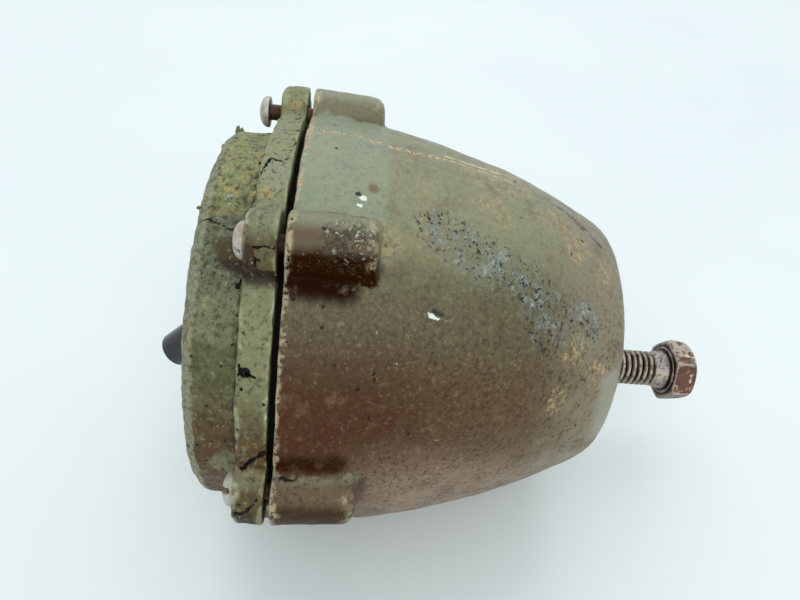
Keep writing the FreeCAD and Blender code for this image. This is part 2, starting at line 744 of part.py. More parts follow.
# --- synchros -----------------------------------------------------------------------------
def synchro_case(direction):
    x, z = polar(CENTRE_DISTANCE, direction)
    front, back = SYNCHRO_FRONT, SYNCHRO_BACK
    body = disc(SYNCHRO_R, front, back, x, z).fuse(disc(SYNCHRO_FLANGE_R, front, front + 2, x, z))
    body = body.fuse(disc(6.9, FRONT_PLATE + 0.5, front, x, z))
    body = body.cut(disc(SYNCHRO_R - SYNCHRO_WALL, front + 3, back + 1, x, z))
    body = body.cut(disc(ROTOR_SHAFT_R + TURN_GAP, FRONT_PLATE - 1, back, x, z))
    holes = []
    for angle in SYNCHRO_SCREW_ANGLES:
        dx, dz = polar(SYNCHRO_SCREW_R, angle)
        holes.append(disc(1.35, front - 1, front + 3, x + dx, z + dz))
        holes.append(disc(2.1, front + 2, front + 6, x + dx, z + dz))
    return body.cut(group(holes)).removeSplitter()


def synchro_stator(direction):
    """Slotted ring of laminations inside the case."""
    x, z = polar(CENTRE_DISTANCE, direction)
    start, end = SYNCHRO_FRONT + 6, SYNCHRO_BACK - 6
    core = ring(SYNCHRO_R - SYNCHRO_WALL - SEAT_GAP, STATOR_BORE_R, start, end)
    slot = block(-0.9, 0.9, start, end, STATOR_BORE_R - 1, STATOR_BORE_R + 2.2)
    return core.cut(group(around(slot, range(0, 360, 30)))).translated(V(x, 0, z))


def synchro_rotor(direction, shaft_front):
    """Shaft with the dumb-bell rotor core."""
    x, z = polar(CENTRE_DISTANCE, direction)
    start, end = SYNCHRO_FRONT + 7, SYNCHRO_BACK - 7
    core = disc(ROTOR_CORE_R, start, end)
    cheeks = [block(side * 6.5 - 3, side * 6.5 + 3, start + 1.5, end - 1.5, -4.5, 4.5)
              for side in (-1, 1)]
    core = core.cut(group(cheeks))
    return core.fuse(disc(ROTOR_SHAFT_R, shaft_front, SYNCHRO_BACK - 1.0)).translated(V(x, 0, z))


def synchro_cap(direction):
    """Insulating end cap that carries the back bearing and the tags."""
    x, z = polar(CENTRE_DISTANCE, direction)
    cap = disc(SYNCHRO_R - SYNCHRO_WALL - SEAT_GAP, SYNCHRO_BACK - 4, SYNCHRO_BACK)
    cap = cap.fuse(disc(SYNCHRO_R, SYNCHRO_BACK, SYNCHRO_BACK + 1.2))
    cap = cap.cut(disc(ROTOR_SHAFT_R + TURN_GAP, SYNCHRO_BACK - 5, SYNCHRO_BACK - 0.8))
    tag = block(-1.0, 1.0, SYNCHRO_BACK + 1.2, SYNCHRO_BACK + 4.2, 8.5, 9.1)
    tags = around(tag, [0, 120, 240])
    return cap.multiFuse(tags).removeSplitter().translated(V(x, 0, z))


def make_synchro_screws():
    screws = []
    for x, z in synchro_places():
        for angle in SYNCHRO_SCREW_ANGLES:
            dx, dz = polar(SYNCHRO_SCREW_R, angle)
            screws.append(reversed_screw(2.0, 1.4, M3_R, 4.8, SYNCHRO_FRONT + 2, x + dx, z + dz))
    return group(screws)


# --- index wheel, plunger and stops -------------------------------------------------------
def make_index_wheel():
    start, end = INDEX_WHEEL
    wheel = disc(INDEX_WHEEL_R, start, end).fuse(disc(8.5, start - 0.6, end + 1.6))
    notch = disc(3.0, start, end, 0, INDEX_WHEEL_R + 1.3)
    wheel = wheel.cut(group(around(notch, range(-120, 121, ORDER_STEP_DEG))))
    tab = block(-STOP_TAB_HALF, STOP_TAB_HALF, start, end, -STOP_TAB_R, -INDEX_WHEEL_R + 2)
    return wheel.fuse(tab).cut(disc(SHAFT_R + SEAT_GAP, start - 2, end + 3)).removeSplitter()


def make_stop_pins():
    clear = math.degrees(math.asin((STOP_TAB_HALF + STOP_PIN_R + 0.1) / STOP_CIRCLE_R))
    pins = []
    for side in (-1, 1):
        angle = 180 + side * (HANDLE_SWING_DEG + clear)
        x, z = polar(STOP_CIRCLE_R, angle)
        pins.append(disc(STOP_PIN_R, REAR_PLATE + PLATE_T, INDEX_WHEEL[1], x, z))
    return group(pins)


def make_index_housing():
    y = at(INDEX_MIDDLE)
    low, high = HOUSING_Z
    body = rod(HOUSING_R, (0, y, low), (0, y, high))
    foot = block(-10.5, 10.5, REAR_PLATE + PLATE_T, REAR_PLATE + PLATE_T + 2, 24.0, 32.0)
    web = block(-3.5, 3.5, REAR_PLATE + PLATE_T, INDEX_MIDDLE, 24.0, 36.0)
    body = body.multiFuse([foot, web])
    body = body.cut(rod(PLUNGER_R + TURN_GAP, (0, y, low - 1), (0, y, low + 5)))
    body = body.cut(rod(HOUSING_BORE_R, (0, y, low + 4.5), (0, y, high + 1)))
    holes = [disc(1.35, REAR_PLATE, REAR_PLATE + 9, side * HOUSING_SCREW_X, HOUSING_SCREW_Z)
             for side in (-1, 1)]
    return body.cut(group(holes)).removeSplitter()


def make_index_plunger():
    y = at(INDEX_MIDDLE)
    tip = INDEX_WHEEL_R + 0.4
    pin = rod(PLUNGER_R, (0, y, tip + PLUNGER_R), (0, y, 32.0))
    nose = Part.makeSphere(PLUNGER_R, V(0, y, tip + PLUNGER_R))
    collar = rod(PLUNGER_COLLAR_R, (0, y, HOUSING_Z[0] + 5.0), (0, y, HOUSING_Z[0] + 6.5))
    return pin.multiFuse([nose, collar]).removeSplitter()


def make_index_cap():
    y = at(INDEX_MIDDLE)
    low, high = HOUSING_Z
    cap = rod(HOUSING_R, (0, y, high), (0, y, high + 1.5))
    return cap.fuse(rod(3.5, (0, y, high - 2.0), (0, y, high)))


def make_index_spring():
    """Compression spring between the plunger's collar and the cap."""
    y = at(INDEX_MIDDLE)
    low, high = HOUSING_Z[0] + 6.9, HOUSING_Z[1] - 2.4
    helix = Part.makeHelix(SPRING_PITCH, high - low, SPRING_R)
    wire = Part.Wire(Part.makeCircle(SPRING_WIRE_R, V(SPRING_R, 0, 0), V(0, 1, 0)))
    coil = Part.Wire(helix.Edges).makePipeShell([wire], True, True)
    return coil.translated(V(0, y, low))


# --- lamp, terminals and wiring -----------------------------------------------------------
def make_lamp_holder():
    tube = disc(LAMP_TUBE_R, FRONT_PLATE - 9.0, FRONT_PLATE + 14.0, 0, LAMP_R)
    flange = disc(LAMP_TUBE_R + 2, FRONT_PLATE - 1.2, FRONT_PLATE, 0, LAMP_R)
    socket = disc(LAMP_CAP_R + 0.1, -20, FRONT_PLATE + 10, 0, LAMP_R)
    return tube.fuse(flange).cut(socket).removeSplitter()


def make_lamp_bulb():
    glass_r, glass_front = LAMP_CAP_R - 0.2, -6.0
    cap = disc(LAMP_CAP_R, FRONT_PLATE - 6.0, FRONT_PLATE + 9.5, 0, LAMP_R)
    glass = disc(glass_r, glass_front, FRONT_PLATE - 6.0, 0, LAMP_R)
    dome = Part.makeSphere(glass_r, V(0, at(glass_front), LAMP_R))
    return cap.multiFuse([glass, dome]).removeSplitter()


def make_terminal_block():
    body = block(-24, 24, TERMINAL[0], TERMINAL[1], *TERMINAL_Z)
    walls = [block(x - 0.6, x + 0.6, TERMINAL[1], TERMINAL[1] + 3, *TERMINAL_Z)
             for x in range(-16, 17, 8)]
    body = body.multiFuse(walls)
    z = TERMINAL_MIDDLE_Z
    holes = [disc(M3_TAPPED_R, TERMINAL[1] - 7, TERMINAL[1] + 1, x, z) for x in TERMINAL_X]
    for x in (-TERMINAL_SCREW_X, TERMINAL_SCREW_X):
        holes.append(disc(1.35, TERMINAL[0], TERMINAL[1] + 4, x, z))
        holes.append(disc(3.0, TERMINAL[1] - 4, TERMINAL[1] + 4, x, z))
    return body.cut(group(holes)).removeSplitter()


def make_terminal_screws():
    return group([reversed_screw(2.5, 1.6, M3_R, 5.5, TERMINAL[1], x, TERMINAL_MIDDLE_Z)
                  for x in TERMINAL_X])


def make_inner_screws():
    """Screws that hold the plunger housing and the terminal block."""
    screws = []
    for side in (-1, 1):
        foot, x = REAR_PLATE + PLATE_T + 2.0, side * HOUSING_SCREW_X
        screws.append(reversed_screw(2.2, 1.5, M3_R, 4.5, foot, x, HOUSING_SCREW_Z))
        step, x = TERMINAL[1] - 4.0, side * TERMINAL_SCREW_X
        screws.append(reversed_screw(2.5, 1.6, M3_R, 9.5, step, x, TERMINAL_MIDDLE_Z))
    return group(screws)


def wire_run(points, radius=0.8):
    """Insulated wire along a smooth curve through the points."""
    path = Part.BSplineCurve()
    path.interpolate([V(x, at(s), z) for x, s, z in points])
    spine = Part.Wire(path.toShape())
    tangent = path.tangent(path.FirstParameter)[0]
    start = Part.Wire(Part.makeCircle(radius, path.value(path.FirstParameter), tangent))
    return spine.makePipeShell([start], True, True)


def make_wiring():
    """Wires from each synchro's tags through the back plate to the terminals."""
    runs = []
    for side in (-1, 1):
        x, z = polar(CENTRE_DISTANCE, TRANSMITTER_DEG)
        first = SYNCHRO_BACK + 1.5
        for k, end_x in enumerate((12, 4)):
            lane = -1.6 + 3.2 * k
            runs.append(wire_run([
                (side * (x + lane), first, z),
                (side * (x + lane), REAR_PLATE + 1.5, z - 0.5),
                (side * (x - 3 + 1.5 * lane), REAR_PLATE + 12 + 3 * k, z - 7),
                (side * (end_x + 2), TERMINAL[1] + 2.6, -25.6),
                (side * end_x, TERMINAL[1] + 1.0, -28.6),
            ]))
    return group(runs)


# --- cable gland --------------------------------------------------------------------------
def make_gland_body():
    body = gland_line(GLAND_THREAD_R, GLAND_COLLAR_Z, GLAND_TOP_Z)
    body = body.fuse(gland_line(GLAND_COLLAR_R, GLAND_COLLAR_Z, GLAND_BOSS_Z))
    recess = gland_line(GLAND_SEAL_R + 0.1, GLAND_COLLAR_Z - 1, GLAND_SEAT_Z)
    bore = gland_line(GLAND_BORE_R, GLAND_COLLAR_Z - 1, GLAND_TOP_Z + 1)
    return body.cut(recess.fuse(bore)).removeSplitter()


def make_gland_seal():
    seal = gland_line(GLAND_SEAL_R, GLAND_COLLAR_Z + 0.1, GLAND_SEAT_Z)
    return seal.cut(gland_line(GLAND_BORE_R, GLAND_COLLAR_Z - 1, GLAND_SEAT_Z + 1))


def make_gland_nut():
    prism = hexagon(GLAND_FLATS, 0, GLAND_COLLAR_Z - GLAND_END_Z)
    prism.rotate(V(0, at(0), 0), V(1, 0, 0), 90)
    nut = prism.translated(V(0, GLAND_STATION, GLAND_END_Z))
    return nut.cut(gland_line(GLAND_BORE_R, GLAND_END_Z - 1, GLAND_COLLAR_Z + 1))


# --- nodes --------------------------------------------------------------------------------
def both_synchros():
    """The nodes that the transmitter and the receiver each have."""
    nodes = {}
    rotors = {"transmitter": (TRANSMITTER_DEG, ORDER_GEAR), "receiver": (RECEIVER_DEG, REPLY_GEAR)}
    for name, (direction, limits) in rotors.items():
        nodes[name + "_case"] = synchro_case(direction)
        nodes[name + "_stator"] = synchro_stator(direction)
        nodes[name + "_rotor"] = synchro_rotor(direction, limits[0] - 0.8)
        nodes[name + "_cap"] = synchro_cap(direction)
    return nodes


def main():
    os.makedirs("parts", exist_ok=True)
    nodes = {
        "casing": make_casing(),
        "joint_gasket": make_gasket(),
        "mounting_bolt": make_mounting_bolt(),
        "bezel": make_bezel(),
        "bezel_screws": make_bezel_screws(),
        "window_glass": make_window_glass(),
        "window_seal": make_window_seal(),
        "window_ring": make_window_ring(),
        "window_ring_screws": make_window_ring_screws(),
        "window_bush": make_window_bush(),
        "bush_washers": make_bush_washers(),
        "bush_nut": make_bush_nut(),
        "shaft_packing": make_packing(),
        "packing_nut": make_packing_nut(),
        "handle_hub": make_handle_hub(),
        "handle_stem": make_handle_stem(),
        "handle_grip": make_handle_grip(),
        "handle_pin": make_hub_pin(),
        "handle_shaft": make_handle_shaft(),
        "order_pointer": make_order_pointer(),
        "dial_plate": make_dial_plate(),
        "dial_posts": make_dial_posts(),
        "dial_screws": make_dial_screws(),
        "reply_tube": make_reply_tube(),
        "reply_pointer": make_reply_pointer(),
        "reply_gear": make_reply_gear(),
        "order_gear": make_order_gear(),
        "transmitter_pinion": make_transmitter_pinion(),
        "receiver_pinion": make_receiver_pinion(),
        "front_plate": make_front_plate(),
        "rear_plate": make_rear_plate(),
        "plate_pillars": make_pillars(),
        "pillar_screws": make_pillar_screws(),
        "chassis_screws": make_chassis_screws(),
        "front_bearing": make_front_bearing(),
        "rear_bearing": make_rear_bearing(),
        "synchro_screws": make_synchro_screws(),
        "index_wheel": make_index_wheel(),
        "stop_pins": make_stop_pins(),
        "index_housing": make_index_housing(),
        "index_plunger": make_index_plunger(),
        "index_spring": make_index_spring(),
        "index_cap": make_index_cap(),
        "lamp_holder": make_lamp_holder(),
        "lamp_bulb": make_lamp_bulb(),
        "terminal_block": make_terminal_block(),
        "terminal_screws": make_terminal_screws(),
        "inner_screws": make_inner_screws(),
        "inner_wiring": make_wiring(),
        "gland_body": make_gland_body(),
        "gland_seal": make_gland_seal(),
        "gland_nut": make_gland_nut(),
    }
    nodes.update(both_synchros())
    for name, shape in nodes.items():
        shape.exportStep(f"parts/{name}.step")
    print(len(nodes), "nodes")


main()
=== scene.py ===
"""The look of the ship engine telegraph: camera, light, worn castings and finishes.

Lengths are in metres in the frame of the CAD model. Places on the instrument are given by
place(x, station, z) in millimetres, where the station is counted from the joint between
casing and bezel, positive towards the back.
"""
import bmesh
import bpy
import json
import math
import numpy as np
from mathutils import Matrix, Vector, noise


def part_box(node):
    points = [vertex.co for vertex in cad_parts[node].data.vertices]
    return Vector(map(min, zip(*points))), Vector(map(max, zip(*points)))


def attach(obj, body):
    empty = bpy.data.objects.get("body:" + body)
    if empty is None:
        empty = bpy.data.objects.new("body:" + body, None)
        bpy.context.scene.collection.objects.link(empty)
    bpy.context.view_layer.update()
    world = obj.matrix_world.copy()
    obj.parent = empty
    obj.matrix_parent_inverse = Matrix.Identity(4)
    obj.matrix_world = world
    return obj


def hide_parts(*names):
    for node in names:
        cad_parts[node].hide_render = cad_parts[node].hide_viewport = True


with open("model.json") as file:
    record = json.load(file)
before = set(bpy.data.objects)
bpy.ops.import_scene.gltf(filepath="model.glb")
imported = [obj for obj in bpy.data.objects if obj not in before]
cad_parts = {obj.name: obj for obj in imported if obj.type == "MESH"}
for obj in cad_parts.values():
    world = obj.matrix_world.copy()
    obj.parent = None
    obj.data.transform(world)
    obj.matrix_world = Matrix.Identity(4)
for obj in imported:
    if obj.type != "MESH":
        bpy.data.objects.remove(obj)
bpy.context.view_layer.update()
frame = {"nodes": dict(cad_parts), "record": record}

NODES = frame["nodes"]
MM = 0.001
JOINT_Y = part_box("casing")[0].y
LUG_CIRCLE_R = 65.0
LUG_R = 8.5
LUG_ANGLES = (-150, -90, -30, 30, 90, 150)
THREAD_R, THREAD_DEPTH, THREAD_PITCH = 6.35, 1.3, 2.117
BOLT_Z = -13.5
BOLT_HALF_FLATS, BOLT_HEAD_LENGTH, BOLT_NECK_LENGTH = 10.2, 7.9, 4.7
HANDLE_ROOT = -21.3
GRIP_START, GRIP_END, GRIP_R, GRIP_EDGE = 16.0, 32.3, 6.4, 0.6
SCREW_HEAD_R, SCREW_HEAD_T, SCREW_SHANK_R, SCREW_LENGTH = 4.7, 3.2, 2.45, 21.0
SCREW_SEAT, LOOSE_SCREW_ANGLE, LOOSE_SCREW_GAP = -9.6, -30, 4.0
SLOT_HALF, SLOT_DEPTH = 0.6, 1.5
UPWARDS = Vector((-0.69, 0.0, 0.72))  # towards the lit side, away from the shaded and grimy one; colours along it are partly painted light and shade
CASING_VOXEL, CASING_PASSES, CASING_TRIANGLES = 0.8, 75, 185000
BEZEL_VOXEL, BEZEL_PASSES, BEZEL_TRIANGLES = 0.6, 55, 135000
CASING_LUMPS = ((26, 0.4, 1), (7, 0.2, 2), (2.4, 0.1, 3))
BEZEL_LUMPS = ((14, 0.5, 4), (5, 0.35, 5), (1.8, 0.22, 6))
FLOOR_TILT_DEG, FLOOR_HALF, BEZEL_RIM_Z = 6.8, 3.0, -65.6
CAMERA_PLACE, CAMERA_LENS = (145.2, 14.8, 147.1), 27.0
CAMERA_AHEAD = Vector((-0.7262, 0.0895, -0.6817))
CAMERA_UP = Vector((-0.6875, -0.0840, 0.7213))
LIGHT_DISTANCE, LIGHT_SIZE = 2.2, 2.4


def place(x, station, z):
    """Point in the row frame from millimetres."""
    return Vector((x * MM, JOINT_Y + station * MM, z * MM))


def tone(red, green, blue):
    """Linear colour from screen values of 0 to 255."""
    def linear(value):
        value /= 255
        return value / 12.92 if value <= 0.04045 else ((value + 0.055) / 1.055) ** 2.4
    return linear(red), linear(green), linear(blue), 1.0


WORN_PLACES = ((21, 36, 57, 9), (24, 44, 55, 11), (26, 52, 52, 11), (28, 60, 48, 10), (31, 66, 44, 11),
               (34, 72, 40, 11), (38, 68, 38, 9), (30, 80, 36, 8))
OCHRE_PLACES = ((4, 72, 51, 9), (8, 80, 46, 8), (13, 88, 40, 7), (20, 92, 32, 6), (12, 78, 46, 6),
                (8, 52, 56, 7), (37, 78, 32, 8), (38, 87, 25, 7), (46, 74, 21, 6))
# Radius and streaks of painted shadow with grime below the lugs; each streak is lug angle, end station and
# width in millimetres.
SHADE_AND_GRIME_R = 64.5
SHADE_AND_GRIME_STREAKS = ((38.2, 14, 6.0), (79.6, 16, 4.6), (160, 15, 7), (-140, 15, 7))
PRIMER_PLACES = ((16.5, 1.0, 63.2, 1.3), (2, 0.4, 65.1, 1.2), (8, 0.4, 64.7, 0.9))
SCRATCH = ((-7, 3, 65.5), (-8.4, 9.2, 64.7), (-7.9, 14.9, 64.3), (-5.3, 24, 63.9), (-5.5, 30, 62.6),
           (-7.2, 40, 60.6), (-8.6, 52, 57), (-9.1, 60, 54.2))


# --- materials ----------------------------------------------------------------------------
class Finish:
    """A material under construction. Masks run from 0 to 1 over the object's own frame."""

    def __init__(self, name, roughness=0.5, metallic=0.0):
        self.material = bpy.data.materials.new(name)
        self.material.use_nodes = True
        self.tree = self.material.node_tree
        self.shader = self.tree.nodes["Principled BSDF"]
        self.shader.inputs["Roughness"].default_value = roughness
        self.shader.inputs["Metallic"].default_value = metallic
        self.here = self.node("TexCoord").outputs["Object"]
        self.colour = (0.5, 0.5, 0.5, 1.0)
        self.height = None

    def node(self, kind, *inputs, **settings):
        """New shader node with its first inputs fed."""
        made = self.tree.nodes.new("ShaderNode" + kind)
        for name, value in settings.items():
            setattr(made, name, value)
        for socket, value in zip(made.inputs, inputs):
            self.feed(socket, value)
        return made

    def feed(self, socket, value):
        """Links a socket's value or sets a constant one."""
        if isinstance(value, bpy.types.NodeSocket):
            self.tree.links.new(value, socket)
        elif value is not None:
            socket.default_value = value

    def maths(self, operation, a, b=None):
        return self.node("Math", a, b, operation=operation).outputs[0]

    def noise(self, size, detail=3.0, roughness=0.55, here=None):
        """Cloudy mask whose patches are about size millimetres across."""
        made = self.node("TexNoise", here or self.here)
        made.inputs["Scale"].default_value = 1 / (size * MM)
        made.inputs["Detail"].default_value = detail
        made.inputs["Roughness"].default_value = roughness
        return made.outputs["Fac"]

    def cells(self, size, here=None):
        """Distance from the middle of round cells about size millimetres apart."""
        made = self.node("TexVoronoi", here or self.here)
        made.inputs["Scale"].default_value = 1 / (size * MM)
        return made.outputs["Distance"]

    def ramp(self, value, low, high):
        """0 below low and 1 above high, or the other way round where low is above high."""
        made = self.node("MapRange", value, interpolation_type="SMOOTHSTEP")
        made.inputs["From Min"].default_value = min(low, high)
        made.inputs["From Max"].default_value = max(low, high)
        made.inputs["To Min"].default_value = 0.0 if low < high else 1.0
        made.inputs["To Max"].default_value = 1.0 if low < high else 0.0
        return made.outputs["Result"]

    def both(self, *masks):
        """Product of two or more masks or shares."""
        found = masks[0]
        for mask in masks[1:]:
            found = self.maths("MULTIPLY", found, mask)
        return found

    def outside(self, mask):
        """What a mask leaves."""
        return self.maths("SUBTRACT", 1.0, mask)

    def either(self, *masks):
        """Largest of two or more masks."""
        found = masks[0]
        for mask in masks[1:]:
            found = self.maths("MAXIMUM", found, mask)
        return found

    def station(self, here):
        """Distance behind the joint, in millimetres."""
        parts = self.node("SeparateXYZ", here)
        return self.maths("DIVIDE", self.maths("SUBTRACT", parts.outputs["Y"], JOINT_Y), MM)

    def up(self, here):
        """How far a position lies towards UPWARDS, in millimetres."""
        dot = self.node("VectorMath", here, tuple(UPWARDS / MM), operation="DOT_PRODUCT")
        return dot.outputs["Value"]

    def attribute(self, name):
        """A value that is stored with the mesh."""
        return self.node("Attribute", attribute_name=name).outputs["Fac"]

    def wander(self, amount, size):
        """The object's position pushed about, which gives masks ragged edges."""
        made = self.node("TexNoise", self.here)
        made.inputs["Scale"].default_value = 1 / (size * MM)
        made.inputs["Detail"].default_value = 4.0
        centred = self.node("VectorMath", made.outputs["Color"], (0.5, 0.5, 0.5),
                            operation="SUBTRACT").outputs[0]
        scaled = self.node("VectorMath", centred, operation="SCALE")
        scaled.inputs["Scale"].default_value = amount * MM
        return self.node("VectorMath", self.here, scaled.outputs[0], operation="ADD").outputs[0]

    def spot(self, centre, radius, soft=0.3, here=None):
        """Mask round a point, radius in millimetres."""
        far = self.node("VectorMath", here or self.here, tuple(centre), operation="DISTANCE")
        return self.ramp(far.outputs["Value"], radius * MM, radius * MM * (1 - soft))

    def streak(self, start, end, width, here=None):
        """Mask along a straight line between two points, width in millimetres."""
        along = end - start
        offset = self.node("VectorMath", here or self.here, tuple(start), operation="SUBTRACT")
        dot = self.node("VectorMath", offset.outputs[0], tuple(along / along.length_squared),
                        operation="DOT_PRODUCT").outputs["Value"]
        share = self.node("Clamp", dot).outputs[0]
        reach = self.node("VectorMath", tuple(along), operation="SCALE")
        self.feed(reach.inputs["Scale"], share)
        gap = self.node("VectorMath", offset.outputs[0], reach.outputs[0], operation="DISTANCE")
        return self.ramp(gap.outputs["Value"], width * MM, width * MM * 0.3)

    def crack(self, points, width, here=None):
        """Mask along a chain of points."""
        return self.either(*(self.streak(start, end, width, here)
                             for start, end in zip(points, points[1:])))

    def paint(self, colour, *masks):
        """Lays a colour over what is there so far, where all the masks say so."""
        made = self.node("Mix", data_type="RGBA")
        self.feed(made.inputs[0], self.both(*masks))
        self.feed(made.inputs[6], self.colour)
        self.feed(made.inputs[7], tone(*colour))
        self.colour = made.outputs[2]

    def raise_by(self, mask, amount):
        """Adds to the relief, amount in millimetres."""
        part = self.maths("MULTIPLY", mask, amount * MM)
        self.height = part if self.height is None else self.maths("ADD", self.height, part)

    def vary(self, socket, mask, low, high):
        """Lets a shader value run from low to high with a mask."""
        made = self.node("MapRange", mask)
        made.inputs["To Min"].default_value = low
        made.inputs["To Max"].default_value = high
        self.tree.links.new(made.outputs["Result"], self.shader.inputs[socket])

    def done(self):
        self.feed(self.shader.inputs["Base Color"], self.colour)
        if self.height is not None:
            bump = self.node("Bump")
            bump.inputs["Distance"].default_value = 1.0
            bump.inputs["Strength"].default_value = 1.0
            self.feed(bump.inputs["Height"], self.height)
            self.tree.links.new(bump.outputs["Normal"], self.shader.inputs["Normal"])
        return self.material


def lug_centre(angle, radius=LUG_CIRCLE_R):
    """Centre (x, z) of a lug in millimetres, its angle counted from the top."""
    side = math.radians(angle)
    return radius * math.sin(side), radius * math.cos(side)


def shade_lug(f, angle, length, top, middle, low, here):
    """Colours of one lug: the upper flank painted lighter as painted light, the lower flank painted dark
    as painted shade with brown grime; the mask of the lower flank is returned.
    """
    x, z = lug_centre(angle)
    height = UPWARDS.dot((x, 0, z))
    up = f.up(here)
    on_lug = f.streak(place(x, 0, z), place(x, length, z), 10.5, here)
    on_lug = f.both(f.ramp(on_lug, 0.05, 0.2), f.ramp(f.station(here), length, length - 2))
    f.paint(middle, on_lug)
    f.paint(top, on_lug, f.ramp(up, height + 2, height + 6.5))
    under_shade_and_grime = f.both(on_lug, f.ramp(up, height + 0.5, height - 3.5))
    f.paint(low, under_shade_and_grime)
    return under_shade_and_grime


